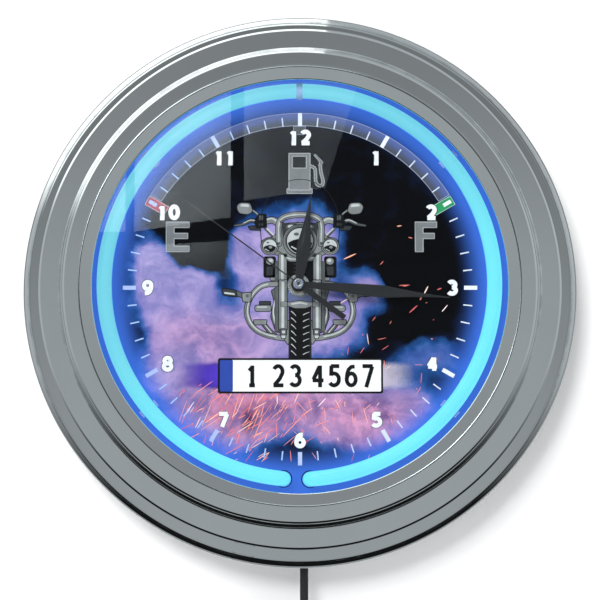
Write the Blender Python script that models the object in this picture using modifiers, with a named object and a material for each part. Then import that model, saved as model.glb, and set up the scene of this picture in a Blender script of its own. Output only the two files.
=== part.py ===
"""Neon wall clock of a filling station, 380 mm across, hung on one wall screw.

World frame: +Z up, the wall is the plane y = 0, the dial faces -Y, and the origin is where the
wall screw carries the hanger. Most pieces are placed in the clock's own frame, held by the empty
"clock_axis": x to the right, y up and z away from the wall, on the axis of the rim. The movement
and the hands are placed from the empty "movement_axis", which sits a little high and left in the
dial's oversize hole.
"""

import math

import bmesh
import bpy
from mathutils import Matrix, Vector

MM = 0.001
GAP = 0.3 * MM  # left between pieces that touch

# Driving dimensions
RIM_RADIUS = 190 * MM
HANG_DROP = 118 * MM  # from the wall screw down to the rim's axis
SIDES = 56  # facets round the large turned pieces
HUB_X, HUB_Y = -1.0 * MM, 1.8 * MM

# Depths, from the wall
FLOOR = 2 * MM
FLANGE_BACK, FLANGE_FRONT = 26 * MM, 28 * MM
DIAL_BACK, DIAL_FRONT = 34 * MM, 35.5 * MM
GLASS_BACK, GLASS_FRONT = 52.6 * MM, 55 * MM
SHELL_RADIUS, FLANGE_RADIUS = 174 * MM, 183.6 * MM
RIB_IN, RIB_OUT = 145.5 * MM, 148 * MM  # the ring wall that the dial rests on
SCREW_CIRCLE = 178 * MM

# Neon tube
TUBE_X, TUBE_Y, TUBE_Z = -0.4 * MM, 2.0 * MM, 44 * MM
TUBE_RING, TUBE_RADIUS = 132.5 * MM, 5.2 * MM
TUBE_BEND = 7 * MM
LEG_LEFT, LEG_RIGHT = -11.2 * MM, 6.8 * MM  # where the two ends turn back through the dial
LEG_END = 24.3 * MM

# Mains side
CORD_X, CORD_Z, CORD_RADIUS = 2.8 * MM, 15 * MM, 2.8 * MM
GLAND_END = -190 * MM
COIL_RING, COIL_Y = 30 * MM, -259.5 * MM
COIL_X = CORD_X - COIL_RING
COIL_HALF = 8.8 * MM  # half the bundle's thickness, three cords by three
PLUG_TOP = -302 * MM
SWITCH_ANGLE = math.radians(-70)

# Movement
CASE_BACK, CASE_SPLIT, CASE_FRONT = 17.5 * MM, 24 * MM, 33.7 * MM
THIRD_AT = (-7.2 * MM, 0)
MINUTE_AT = (0, 8 * MM)
KNOB_AT = (8 * MM, 8 * MM)
IDLER_AT = (4.83 * MM, -4.05 * MM)
ROTOR_AT = (10.09 * MM, -5.97 * MM)
BATTERY_Y, BATTERY_Z = -27.25 * MM, 25 * MM
PINION_ROOT = 0.8  # root radius over tip radius
TOOTH = 0.45  # height of a wheel's teeth, in millimetres
# Name, place, material, wheel, pinion, arbor, bore. A wheel or pinion is its teeth, tip radius and
# the depths of its faces; an arbor is its radius and ends; all in millimetres.
WHITE = "white_plastic"
WHEELS = (
    ("seconds_wheel", (0, 0), "steel", (36, 5.2, 21, 21.8), (6, 1, 21.4, 24), (0.5, 19.5, 44.8), 0),
    ("third_wheel", THIRD_AT, WHITE, (48, 6, 22.6, 23.4), (8, 1.1, 23, 27.4), (0.5, 19.5, 28.3), 0),
    ("centre_wheel", (0, 0), WHITE, (60, 5.9, 26.3, 27.1), (10, 2, 26.7, 29), (1.45, 25.6, 43.3), 0.8),
    ("minute_wheel", MINUTE_AT, WHITE, (30, 5.8, 27.8, 28.6), (8, 1.4, 28.2, 31.2), (0.6, 19.5, 31.8), 0),
    ("hour_wheel", (0, 0), WHITE, (32, 6.4, 29.8, 30.6), None, (2.5, 29.6, 41), 1.8),
    ("idler_wheel", IDLER_AT, WHITE, (30, 4.5, 24.4, 25.2), (6, 0.9, 20.4, 24.8), (0.4, 19.5, 26), 0),
)

# Hands, as clock angles from twelve, for a quarter past twelve and 51 seconds
HOUR_ANGLE, MINUTE_ANGLE, SECOND_ANGLE = 7.9, 95.1, 306.5

COLOURS = {
    "chrome": ((0.62, 0.65, 0.66), 0.12, 1.0),
    "steel": ((0.55, 0.56, 0.57), 0.35, 1.0),
    "brass": ((0.72, 0.52, 0.22), 0.3, 1.0),
    "copper": ((0.70, 0.30, 0.14), 0.35, 1.0),
    "black_plastic": ((0.02, 0.02, 0.022), 0.5, 0.0),
    "white_plastic": ((0.75, 0.77, 0.80), 0.45, 0.0),
    "black_rubber": ((0.015, 0.015, 0.015), 0.7, 0.0),
    "glass": ((0.80, 0.86, 0.88), 0.03, 0.0),
    "neon_glass": ((0.30, 0.88, 0.95), 0.2, 0.0),
    "dial_print": ((0.16, 0.15, 0.34), 0.5, 0.0),
    "hand_black": ((0.012, 0.012, 0.014), 0.4, 0.0),
    "board_green": ((0.03, 0.20, 0.09), 0.5, 0.0),
    "ferrite": ((0.06, 0.06, 0.065), 0.6, 0.0),
    "cell_wrap": ((0.05, 0.10, 0.28), 0.35, 0.2),
}


# ---------------------------------------------------------------- helpers


def clear_scene():
    for obj in list(bpy.data.objects):
        bpy.data.objects.remove(obj, do_unlink=True)


def collection(name, hidden=False):
    made = bpy.data.collections.new(name)
    bpy.context.scene.collection.children.link(made)
    made.hide_render = hidden
    return made


def material(name):
    if name in bpy.data.materials:
        return bpy.data.materials[name]
    colour, roughness, metallic = COLOURS[name]
    made = bpy.data.materials.new(name)
    made.use_nodes = True
    shader = made.node_tree.nodes["Principled BSDF"]
    shader.inputs["Base Color"].default_value = (*colour, 1)
    shader.inputs["Roughness"].default_value = roughness
    shader.inputs["Metallic"].default_value = metallic
    made.diffuse_color = (*colour, 1)
    return made


def add(name, data, parent, look=None, at=(0, 0, 0), turn=(0, 0, 0)):
    """Links an object under its empty. One with no look is a cutter or a guide."""
    obj = bpy.data.objects.new(name, data)
    obj.parent = parent
    obj.location = at
    obj.rotation_euler = turn
    if look:
        parts.objects.link(obj)
        obj.data.materials.append(material(look))
    else:
        helpers.objects.link(obj)
        obj.hide_render = True
        obj.display_type = "WIRE"
    return obj


def empty(name, parent, at, turn=(0, 0, 0)):
    obj = bpy.data.objects.new(name, None)
    parts.objects.link(obj)
    obj.parent = parent
    obj.location = at
    obj.rotation_euler = turn
    return obj


def smooth(mesh):
    mesh.shade_smooth()
    mesh.set_sharp_from_angle(angle=math.radians(35))


def mesh_of(name, build):
    """A mesh filled by build(bm)."""
    bm = bmesh.new()
    build(bm)
    mesh = bpy.data.meshes.new(name)
    bm.to_mesh(mesh)
    bm.free()
    smooth(mesh)
    return mesh


def put_box(bm, size, centre, turn=Matrix()):
    matrix = Matrix.Translation(centre) @ turn @ Matrix.Diagonal((*size, 1))
    bmesh.ops.create_cube(bm, size=1, matrix=matrix)


def put_rod(bm, radius, low, high, at=(0, 0), sides=16, turn=Matrix()):
    """A rod between two distances along its own axis, upright unless it is turned."""
    matrix = Matrix.Translation((*at, 0)) @ turn @ Matrix.Translation((0, 0, (low + high) / 2))
    bmesh.ops.create_cone(
        bm, cap_ends=True, segments=sides, radius1=radius, radius2=radius, depth=high - low, matrix=matrix
    )


def box(name, parent, look, size, centre, bevel=0.0):
    obj = add(name, mesh_of(name, lambda bm: put_box(bm, size, (0, 0, 0))), parent, look, centre)
    if bevel:
        rounding = obj.modifiers.new("rounded_edges", "BEVEL")
        rounding.width = bevel
        rounding.segments = 1
    return obj


def turned(name, parent, look, profile, sides=SIDES, at=(0, 0, 0), turn=(0, 0, 0)):
    """A turned piece from (radius, depth) points. A ring's points form a loop, given with its
    outer side running down; a solid piece starts and ends on the axis."""
    solid = profile[0][0] == 0
    count = len(profile)
    points = [(r, 0, z) for r, z in profile]
    edges = [(i, (i + 1) % count) for i in range(count - solid)]
    mesh = bpy.data.meshes.new(name)
    mesh.from_pydata(points, edges, [])
    obj = add(name, mesh, parent, look, at, turn)
    screw = obj.modifiers.new("turned", "SCREW")
    screw.steps = screw.render_steps = sides
    screw.use_merge_vertices = True
    screw.merge_threshold = 0.01 * MM
    screw.use_smooth_shade = True
    return obj


def ring_profile(inner, outer, low, high):
    return [(outer, high), (outer, low), (inner, low), (inner, high)]


def outline(name, loops, thickness):
    """A flat plate centred on its plane: the first loop is its edge, the others are holes."""
    curve = bpy.data.curves.new(name, "CURVE")
    curve.dimensions = "2D"
    curve.fill_mode = "BOTH"
    curve.extrude = thickness / 2
    for loop in loops:
        spline = curve.splines.new("POLY")
        spline.points.add(len(loop) - 1)
        spline.use_cyclic_u = True
        for point, (x, y) in zip(spline.points, loop):
            point.co = (x, y, 0, 1)
    return curve


def plate_mesh(name, loops, thickness):
    """The same plate as a closed mesh, for a piece that is cut or joined."""
    guide = bpy.data.objects.new(name + "_outline", outline(name, loops, thickness))
    helpers.objects.link(guide)
    graph = bpy.context.evaluated_depsgraph_get()
    mesh = bpy.data.meshes.new_from_object(guide.evaluated_get(graph))
    mesh.name = name
    bm = bmesh.new()
    bm.from_mesh(mesh)
    bmesh.ops.remove_doubles(bm, verts=bm.verts, dist=0.001 * MM)
    bmesh.ops.recalc_face_normals(bm, faces=bm.faces)
    bm.to_mesh(mesh)
    bm.free()
    mesh.materials.clear()
    bpy.data.objects.remove(guide)
    return mesh


def circle(radius, at=(0, 0), sides=24):
    turns = (2 * math.pi * i / sides for i in range(sides))
    return [(at[0] + radius * math.cos(t), at[1] + radius * math.sin(t)) for t in turns]


def arc(radius, start, end, count, at=(0, 0)):
    """Points along an arc, angles in degrees."""
    steps = (math.radians(start + (end - start) * i / (count - 1)) for i in range(count))
    return [(at[0] + radius * math.cos(t), at[1] + radius * math.sin(t)) for t in steps]


def combine(obj, other, operation):
    """Cuts or joins obj with another object's solid."""
    boolean = obj.modifiers.new(other.name, "BOOLEAN")
    boolean.operation = operation
    boolean.object = other


def smooth_route(route, step):
    """Evenly spaced points of the smooth curve through a route's own points."""
    spots = [Vector(p) for p in route]
    ends = [2 * spots[0] - spots[1], *spots, 2 * spots[-1] - spots[-2]]
    fine = []
    for a, b, c, d in zip(ends, ends[1:], ends[2:], ends[3:]):
        for i in range(24):
            t = i / 24
            bend = (-a + 3 * b - 3 * c + d) * t**3 + (2 * a - 5 * b + 4 * c - d) * t**2
            fine.append(0.5 * (2 * b + (c - a) * t + bend))
    fine.append(spots[-1])
    lengths = [0.0]
    for a, b in zip(fine, fine[1:]):
        lengths.append(lengths[-1] + (b - a).length)
    count = max(2, round(lengths[-1] / step) + 1)
    points, i = [], 0
    for k in range(count):
        want = lengths[-1] * k / (count - 1)
        while i < len(lengths) - 2 and lengths[i + 1] < want:
            i += 1
        share = (want - lengths[i]) / (lengths[i + 1] - lengths[i])
        points.append(fine[i].lerp(fine[i + 1], share))
    return points


def tube(name, parent, look, points, radius):
    curve = bpy.data.curves.new(name, "CURVE")
    curve.dimensions = "3D"
    curve.bevel_depth = radius
    curve.bevel_resolution = 2
    curve.use_fill_caps = True
    spline = curve.splines.new("POLY")
    spline.points.add(len(points) - 1)
    for point, spot in zip(spline.points, points):
        point.co = (*spot, 1)
    return add(name, curve, parent, look)


# ---------------------------------------------------------------- case


def add_back_shell(clock):
    """The black pan against the wall, with the rib that carries the dial."""
    side = SHELL_RADIUS - FLOOR
    shell = turned(
        "back_shell",
        clock,
        "black_plastic",
        [
            (0, FLOOR),
            (RIB_IN, FLOOR),
            (RIB_IN, DIAL_BACK - GAP),
            (RIB_OUT, DIAL_BACK - GAP),
            (RIB_OUT, FLOOR),
            (165 * MM, FLOOR),
            (side, 9 * MM),
            (side, FLANGE_FRONT),
            (FLANGE_RADIUS, FLANGE_FRONT),
            (FLANGE_RADIUS, FLANGE_BACK),
            (SHELL_RADIUS, FLANGE_BACK),
            (SHELL_RADIUS, 8 * MM),
            (166 * MM, 0),
            (0, 0),
        ],
    )

    def studs(bm):
        for x in (-38 * MM, 38 * MM):
            for y in (-104 * MM, -72 * MM):
                put_rod(bm, 3 * MM, 1 * MM, 6.1 * MM, (x, y), 12)
        for x in (-15 * MM, 15 * MM):
            put_rod(bm, 2 * MM, 1 * MM, 4.6 * MM, (x, HANG_DROP - 4 * MM), 12)

    def holes(bm):
        put_box(bm, (18 * MM, 24 * MM, 4 * MM), (0, HANG_DROP - 6 * MM, 0.6 * MM))
        put_box(bm, (64 * MM, 64 * MM, 4 * MM), (HUB_X, HUB_Y - 8.75 * MM, 0.6 * MM))
        notch = (14 * MM, 8 * MM, 28 * MM)
        put_box(bm, notch, (21 * MM, -145.6 * MM, 22 * MM))
        for x in range(-60, 61, 20):
            put_box(bm, (3.2 * MM, 24 * MM, 4 * MM), (x * MM, 66 * MM, 0.6 * MM))
        for x, y in screw_spots():
            put_rod(bm, 1.9 * MM, 24 * MM, 30 * MM, (x, y), 12)
        down = Matrix.Translation((0, 0, CORD_Z)) @ Matrix.Rotation(math.pi / 2, 4, "X")
        put_rod(bm, 5.3 * MM, 169 * MM, 177 * MM, (CORD_X, 0), turn=down)
        put_box(bm, (8 * MM, 14 * MM, 9.2 * MM), (0, 0, 0), switch_matrix())

    combine(shell, add("shell_studs", mesh_of("shell_studs", studs), clock), "UNION")
    combine(shell, add("shell_holes", mesh_of("shell_holes", holes), clock), "DIFFERENCE")


def switch_matrix():
    """From the switch's own frame (x outward, y along the rim) to the clock's frame."""
    reach = SHELL_RADIUS + 0.6 * MM
    spot = (reach * math.cos(SWITCH_ANGLE), reach * math.sin(SWITCH_ANGLE), 16 * MM)
    return Matrix.Translation(spot) @ Matrix.Rotation(SWITCH_ANGLE, 4, "Z")


def screw_spots():
    angles = (math.radians(a) for a in (45, 135, 225, 315))
    return [(SCREW_CIRCLE * math.cos(a), SCREW_CIRCLE * math.sin(a)) for a in angles]


def add_bezel(clock):
    """The two-step chromed rim, one pressed sheet with four lugs for the case screws."""
    # how far in from the rim's edge and how far from the wall, in millimetres
    face = [
        (49.5, 57.0),
        (40.6, 58.6),
        (31.0, 56.5),
        (29.5, 55.5),
        (28.9, 54.0),
        (27.4, 49.8),
        (26.2, 49.0),
        (14.2, 46.9),
        (12.7, 46.0),
        (12.0, 44.5),
        (4.4, 29.2),
        (1.2, 27.4),
        (0.0, 25.0),
        (1.2, 22.6),
        (3.6, 22.0),
    ]
    back = [
        (4.7, 26.4),
        (13.8, 43.7),
        (15.2, 44.9),
        (27.8, 47.1),
        (29.1, 48.4),
        (31.2, 54.2),
        (40.0, 56.3),
        (40.0, 55.3),
        (49.9, 55.6),
    ]
    profile = [(RIM_RADIUS - inset * MM, depth * MM) for inset, depth in face + back]
    bezel = turned("bezel", clock, "chrome", profile)

    def lugs(bm):
        for spot in screw_spots():
            put_rod(bm, 3.5 * MM, FLANGE_FRONT + GAP, 36 * MM, spot, 12)

    def pilots(bm):
        for spot in screw_spots():
            put_rod(bm, 1.8 * MM, 27 * MM, 34.6 * MM, spot, 12)

    combine(bezel, add("bezel_lugs", mesh_of("bezel_lugs", lugs), clock), "UNION")
    combine(bezel, add("bezel_pilots", mesh_of("bezel_pilots", pilots), clock), "DIFFERENCE")


def add_case_screws(clock):
    profile = [
        (0, 34 * MM),
        (1.5 * MM, 34 * MM),
        (1.5 * MM, FLANGE_BACK - GAP),
        (3.2 * MM, FLANGE_BACK - GAP),
        (2.6 * MM, 23.4 * MM),
        (0, 23.2 * MM),
    ]
    for i, spot in enumerate(screw_spots(), 1):
        turned(f"case_screw_{i}", clock, "steel", profile, 12, (*spot, 0))


def add_hanger(clock):
    """Steel plate with the keyhole: its narrow end rests on the wall screw."""
    low = HANG_DROP - 11 * MM
    narrow, wide = 2.3 * MM, 4.6 * MM
    meet = math.degrees(math.asin(narrow / wide))
    keyhole = arc(narrow, 0, 180, 9, (0, HANG_DROP)) + arc(wide, 90 + meet, 450 - meet, 13, (0, low))
    half_x, top, bottom = 20 * MM, HANG_DROP + 12 * MM, HANG_DROP - 21 * MM
    edge = [(-half_x, bottom), (half_x, bottom), (half_x, top), (-half_x, top)]
    studs = [circle(2.3 * MM, (x, HANG_DROP - 4 * MM), 12) for x in (-15 * MM, 15 * MM)]
    curve = outline("hanger_plate", [edge, keyhole, *studs], 1.5 * MM)
    add("hanger_plate", curve, clock, "steel", (0, 0, FLOOR + GAP + 0.75 * MM))


def add_glass_stack(clock):
    """Lens, gasket, the white ring behind the lip, and the dial."""
    lens = [(0, GLASS_FRONT), (149 * MM, GLASS_FRONT), (149 * MM, GLASS_BACK), (0, GLASS_BACK)]
    turned("lens", clock, "glass", lens)
    gasket = ring_profile(143.6 * MM, 148.8 * MM, 50.9 * MM, GLASS_BACK - GAP)
    turned("lens_gasket", clock, "black_rubber", gasket)
    spacer = ring_profile(144.2 * MM, 147.4 * MM, DIAL_FRONT + GAP, 50.9 * MM - GAP)
    turned("reflector_ring", clock, "white_plastic", spacer)
    holes = [circle(4.6 * MM, (HUB_X, HUB_Y))] + [circle(6.0 * MM, leg_at(x)) for x in (LEG_LEFT, LEG_RIGHT)]
    dial = outline("dial_plate", [circle(147.4 * MM, sides=SIDES), *holes], DIAL_FRONT - DIAL_BACK)
    add("dial_plate", dial, clock, "dial_print", (0, 0, (DIAL_FRONT + DIAL_BACK) / 2))


# ---------------------------------------------------------------- neon tube and its supply


def leg_at(x):
    """Where a tube leg crosses the dial, on the tube's own ring."""
    return (x, TUBE_Y - math.sqrt(TUBE_RING**2 - (x - TUBE_X) ** 2))


def tube_route():
    """Centre line of the tube: a leg out of the dial, a tight bend, the ring, and back."""

    def bend(leg_x, way):
        """Points from the leg's end up to the ring, going round in the direction of way."""
        x, y = leg_at(leg_x)
        points = [(x, y, LEG_END), (x, y, 30 * MM), (x, y, TUBE_Z - TUBE_BEND)]
        for turn in (22.5, 45, 67.5):
            t = math.radians(turn)
            reach = x + way * TUBE_BEND * (1 - math.cos(t))
            points.append((reach, leg_at(reach)[1], TUBE_Z - TUBE_BEND * (1 - math.sin(t))))
        return points, x + way * TUBE_BEND

    first, ring_start = bend(LEG_LEFT, -1)
    last, ring_end = bend(LEG_RIGHT, 1)
    start = math.atan2(leg_at(ring_start)[1] - TUBE_Y, ring_start - TUBE_X)
    end = math.atan2(leg_at(ring_end)[1] - TUBE_Y, ring_end - TUBE_X) - 2 * math.pi
    steps = 60
    ring = []
    for i in range(steps + 1):
        t = start + (end - start) * i / steps
        ring.append((TUBE_X + TUBE_RING * math.cos(t), TUBE_Y + TUBE_RING * math.sin(t), TUBE_Z))
    return first + ring + last[::-1]


def add_neon(clock):
    tube("neon_tube", clock, "neon_glass", tube_route(), TUBE_RADIUS)
    inner, outer = TUBE_RADIUS + GAP, TUBE_RADIUS + 1.5 * MM
    foot = DIAL_FRONT + GAP - TUBE_Z
    edge = arc(outer, 10, -60, 6) + [(4 * MM, foot), (-4 * MM, foot)] + arc(outer, 240, 170, 6)
    cradle = outline("tube_clip", [edge + arc(inner, 170, 370, 11)], 5 * MM)
    for i, angle in enumerate((40, 140, 220, 320), 1):
        t = math.radians(angle)
        spot = (TUBE_X + TUBE_RING * math.cos(t), TUBE_Y + TUBE_RING * math.sin(t), TUBE_Z)
        add(f"tube_clip_{i}", cradle.copy(), clock, "white_plastic", spot, (math.pi / 2, 0, t))
    boot = [
        (0, LEG_END - GAP),
        (6.8 * MM, LEG_END - GAP),
        (6.8 * MM, 14 * MM),
        (3.4 * MM, 10.3 * MM),
        (0, 10.3 * MM),
    ]
    for side, x in (("left", LEG_LEFT), ("right", LEG_RIGHT)):
        turned(f"electrode_boot_{side}", clock, "black_rubber", boot, 16, (*leg_at(x), 0))


def add_supply(clock):
    """High-voltage supply of the tube on the shell's floor, and the wires to it."""
    box("inverter_board", clock, "board_green", (84 * MM, 40 * MM, 1.6 * MM), (0, -88 * MM, 7.2 * MM))
    box("transformer", clock, "ferrite", (34 * MM, 26 * MM, 18.7 * MM), (0, -88 * MM, 17.65 * MM), 1 * MM)
    can = [(0, 26.3 * MM), (5 * MM, 26.3 * MM), (5.5 * MM, 25.8 * MM), (5.5 * MM, 8.3 * MM), (0, 8.3 * MM)]
    turned("capacitor", clock, "cell_wrap", can, 20, (31 * MM, -88 * MM, 0))
    for side, x, end in (("left", LEG_LEFT, -7 * MM), ("right", LEG_RIGHT, 7 * MM)):
        leg_x, leg_y = leg_at(x)
        route = [
            (leg_x, leg_y, 10 * MM),
            (leg_x, leg_y + 0.5 * MM, 7 * MM),
            (leg_x, leg_y + 6 * MM, 4.6 * MM),
            (end, -116 * MM, 8 * MM),
            (end, -108 * MM, 13 * MM),
            (end, -101.3 * MM, 14 * MM),
        ]
        tube(f"hv_lead_{side}", clock, "white_plastic", smooth_route(route, 3.2 * MM), 1.2 * MM)
    route = [
        (CORD_X, -167.7 * MM, CORD_Z),
        (CORD_X + 1 * MM, -162 * MM, CORD_Z),
        (14 * MM, -154 * MM, CORD_Z),
        (21 * MM, -145 * MM, CORD_Z),
        (23 * MM, -128 * MM, 13.5 * MM),
        (24 * MM, -114 * MM, 12 * MM),
        (24 * MM, -106 * MM, 11.4 * MM),
    ]
    tube("mains_lead", clock, "black_rubber", smooth_route(route, 4.5 * MM), 2.4 * MM)


def add_switch(clock):
    """Rocker switch in the side of the shell, behind the rim. Its empty is on the rocker's pivot."""
    pivot = empty("switch_axis", clock, (0, 0, 0))
    pivot.matrix_local = switch_matrix()

    def body(bm):
        put_box(bm, (1.5 * MM, 15 * MM, 10.4 * MM), (0.45 * MM, 0, 0))

    case = add("switch_body", mesh_of("switch_body", body), pivot, "black_plastic")
    inner = mesh_of("switch_inner", lambda bm: put_box(bm, (12 * MM, 13.4 * MM, 8.6 * MM), (-5.6 * MM, 0, 0)))
    pocket = mesh_of("switch_pocket", lambda bm: put_box(bm, (6 * MM, 11.6 * MM, 7 * MM), (-0.2 * MM, 0, 0)))
    combine(case, add("switch_inner", inner, pivot), "UNION")
    combine(case, add("switch_pocket", pocket, pivot), "DIFFERENCE")
    edge = [(1.2, -5.4), (3.4, -5.0), (2.4, 0), (3.4, 5.0), (1.2, 5.4), (-1.6, 2.2), (-1.6, -2.2)]
    tilt = math.radians(-10)
    rocker = outline("rocker", [[(x * MM, y * MM) for x, y in edge]], 6.4 * MM)
    add("rocker", rocker, pivot, "black_plastic", turn=(0, 0, tilt))


def straight(top, bottom):
    """Points down the hanging cord, a few to each of its diameters."""
    count = max(3, round((top - bottom) / (5 * MM)))
    return [(CORD_X, top + (bottom - top) * i / (count - 1), CORD_Z) for i in range(count)]


def add_cord(clock):
    """Gland, the hanging cord, its tied coil and the two-pin plug."""
    down = (math.pi / 2, 0, 0)  # turned pieces along the cord: their own z runs down the wall
    gland = [
        (0, 190 * MM),
        (3.6 * MM, 190 * MM),
        (4.6 * MM, 177 * MM),
        (6.5 * MM, 176.3 * MM),
        (6.5 * MM, 174.3 * MM),
        (5 * MM, 174.3 * MM),
        (5 * MM, 171.2 * MM),
        (6.5 * MM, 171.2 * MM),
        (6.5 * MM, 168 * MM),
        (0, 168 * MM),
    ]
    turned("cord_gland", clock, "black_rubber", gland, 16, (CORD_X, 0, CORD_Z), down)
    corner = 3 * MM
    inner, outer = COIL_RING - COIL_HALF, COIL_RING + COIL_HALF
    # how far from the coil's centre the straight cord clears it
    clear = math.sqrt(outer**2 - (COIL_RING - CORD_RADIUS) ** 2) + GAP
    run = straight(GLAND_END - GAP, COIL_Y + clear)
    tube("power_cord", clock, "black_rubber", run, CORD_RADIUS)
    low, high = CORD_Z - COIL_HALF, CORD_Z + COIL_HALF
    bundle = [
        (outer - corner, high),
        (outer, high - corner),
        (outer, low + corner),
        (outer - corner, low),
        (inner + corner, low),
        (inner, low + corner),
        (inner, high - corner),
        (inner + corner, high),
    ]
    turned("cord_coil", clock, "black_rubber", bundle, 32, (COIL_X, COIL_Y, 0))
    hole, band = COIL_HALF + 0.6 * MM, COIL_HALF + 1.8 * MM
    edge = [(-band, -band), (band, -band), (band, band), (-band, band)]
    loop = [(-hole, -hole), (hole, -hole), (hole, hole), (-hole, hole)]
    tie = outline("cord_tie", [edge, loop], 6 * MM)
    add("cord_tie", tie, clock, "black_rubber", (COIL_X - COIL_RING, COIL_Y, CORD_Z), down)
    tube("cord_tail", clock, "black_rubber", straight(COIL_Y - clear, PLUG_TOP + GAP), CORD_RADIUS)
    sleeve = [(0, 314 * MM), (5.2 * MM, 314 * MM), (3.6 * MM, 302 * MM), (0, 302 * MM)]
    turned("plug_sleeve", clock, "black_rubber", sleeve, 16, (CORD_X, 0, CORD_Z), down)
    add_plug(clock)


def add_plug(clock):
    """Flat plug body, wide at the pins and narrow at the cord."""
    top, bottom = -314.3 * MM, -340 * MM
    wide, narrow = (17.6 * MM, 6.85 * MM), (8 * MM, 5.6 * MM)

    def body(bm):
        put_box(bm, (2, 2, 2), (0, 0, 0))
        for vert in bm.verts:
            half = narrow if vert.co.y > 0 else wide
            depth = top if vert.co.y > 0 else bottom
            vert.co = (vert.co.x * half[0], depth, vert.co.z * half[1])

    obj = add("plug_body", mesh_of("plug_body", body), clock, "black_rubber", (CORD_X, 0, CORD_Z))
    rounding = obj.modifiers.new("rounded_edges", "BEVEL")
    rounding.width = 2.5 * MM
    rounding.segments = 2
    pin = [
        (0, 359 * MM),
        (1.2 * MM, 359 * MM),
        (2 * MM, 357.6 * MM),
        (2 * MM, 340.3 * MM),
        (0, 340.3 * MM),
    ]
    for side, x in (("left", -9.3 * MM), ("right", 9.3 * MM)):
        turned(f"plug_pin_{side}", clock, "brass", pin, 12, (CORD_X + x, 0, CORD_Z), (math.pi / 2, 0, 0))


# ---------------------------------------------------------------- movement


def add_movement_case(axis):
    """Two plastic halves: the gear room, and under it the battery bay, open at the back."""
    width, high, low = 56 * MM, 19 * MM, -36.5 * MM
    room_size, bay_size = (53 * MM, 34.5 * MM), (52.6 * MM, 15.5 * MM)
    past = 1 * MM  # how far a cutter runs past an open side

    def half(name, back, front, room, bay):
        """A block from back to front with the two hollows cut to the given depths."""
        centre = (0, (high + low) / 2, (back + front) / 2)

        def block(bm):
            put_box(bm, (width, high - low, front - back), centre)

        def hollows(bm):
            put_box(bm, (*room_size, room[1] - room[0]), (0, 0.25 * MM, sum(room) / 2))
            put_box(bm, (*bay_size, bay[1] - bay[0]), (0, BATTERY_Y, sum(bay) / 2))

        obj = add(name, mesh_of(name, block), axis, "black_plastic")
        cutter = add(name + "_hollows", mesh_of(name + "_hollows", hollows), axis)
        combine(obj, cutter, "DIFFERENCE")
        return obj

    front_room = (CASE_SPLIT - past, CASE_FRONT - 1.5 * MM)
    front_bay = (CASE_SPLIT - past, CASE_FRONT - 0.9 * MM)
    front = half("movement_front_case", CASE_SPLIT, CASE_FRONT, front_room, front_bay)
    bush = mesh_of("bush", lambda bm: put_rod(bm, 4 * MM, 32.8 * MM, 39.3 * MM, sides=20))
    bore = mesh_of("bush_bore", lambda bm: put_rod(bm, 3 * MM, 30 * MM, 41 * MM, sides=20))
    combine(front, add("bush", bush, axis), "UNION")
    combine(front, add("bush_bore", bore, axis), "DIFFERENCE")
    back_room = (CASE_BACK + 1.5 * MM, CASE_SPLIT + past)
    back_bay = (CASE_BACK - past, CASE_SPLIT + past)
    back = half("movement_back_case", CASE_BACK, CASE_SPLIT - GAP, back_room, back_bay)
    knob_hole = mesh_of("knob_hole", lambda bm: put_rod(bm, 1.4 * MM, 16 * MM, 20 * MM, KNOB_AT, 12))
    combine(back, add("knob_hole", knob_hole, axis), "DIFFERENCE")
    washer = ring_profile(4.4 * MM, 7.5 * MM, DIAL_FRONT + GAP, 36.6 * MM)
    turned("washer", axis, "steel", washer, 24)
    nut = outline("centre_nut", [circle(5.6 * MM, sides=6), circle(4.3 * MM, sides=20)], 2 * MM)
    add("centre_nut", nut, axis, "brass", (0, 0, 37.9 * MM))


def gear_outline(teeth, tip, root):
    """Tooth outline: four points a tooth on a pinion, a plain zigzag on a wheel."""
    shares = ((0, root), (0.3, tip), (0.6, tip), (0.9, root)) if teeth < 20 else ((0, root), (0.5, tip))
    points = []
    for i in range(teeth):
        for share, radius in shares:
            t = 2 * math.pi * (i + share) / teeth
            points.append((radius * math.cos(t), radius * math.sin(t)))
    return points


def gear_mesh(name, teeth, tip, root, low, high):
    mesh = plate_mesh(name, [gear_outline(teeth, tip, root)], high - low)
    mesh.transform(Matrix.Translation((0, 0, (low + high) / 2)))
    return mesh


def add_wheel(axis, name, at, look, wheel, pinion, arbor, bore):
    """One arbor with its toothed wheel and pinion, and the bore for an arbor that runs inside it."""
    teeth, tip, low, high = wheel
    disc = gear_mesh(name, teeth, tip * MM, (tip - TOOTH) * MM, low * MM, high * MM)
    obj = add(name, disc, axis, look, (*at, 0))
    radius, low, high = arbor
    rod = mesh_of(name + "_arbor", lambda bm: put_rod(bm, radius * MM, low * MM, high * MM))
    if pinion:
        teeth, tip, low, high = pinion
        small = gear_mesh(name + "_pinion", teeth, tip * MM, tip * PINION_ROOT * MM, low * MM, high * MM)
        combine(obj, add(name + "_pinion", small, axis, at=(*at, 0)), "UNION")
    combine(obj, add(name + "_arbor", rod, axis, at=(*at, 0)), "UNION")
    if bore:
        hollow = mesh_of(name + "_bore", lambda bm: put_rod(bm, bore * MM, 15 * MM, 50 * MM, sides=12))
        combine(obj, add(name + "_bore", hollow, axis, at=(*at, 0)), "DIFFERENCE")


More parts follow.
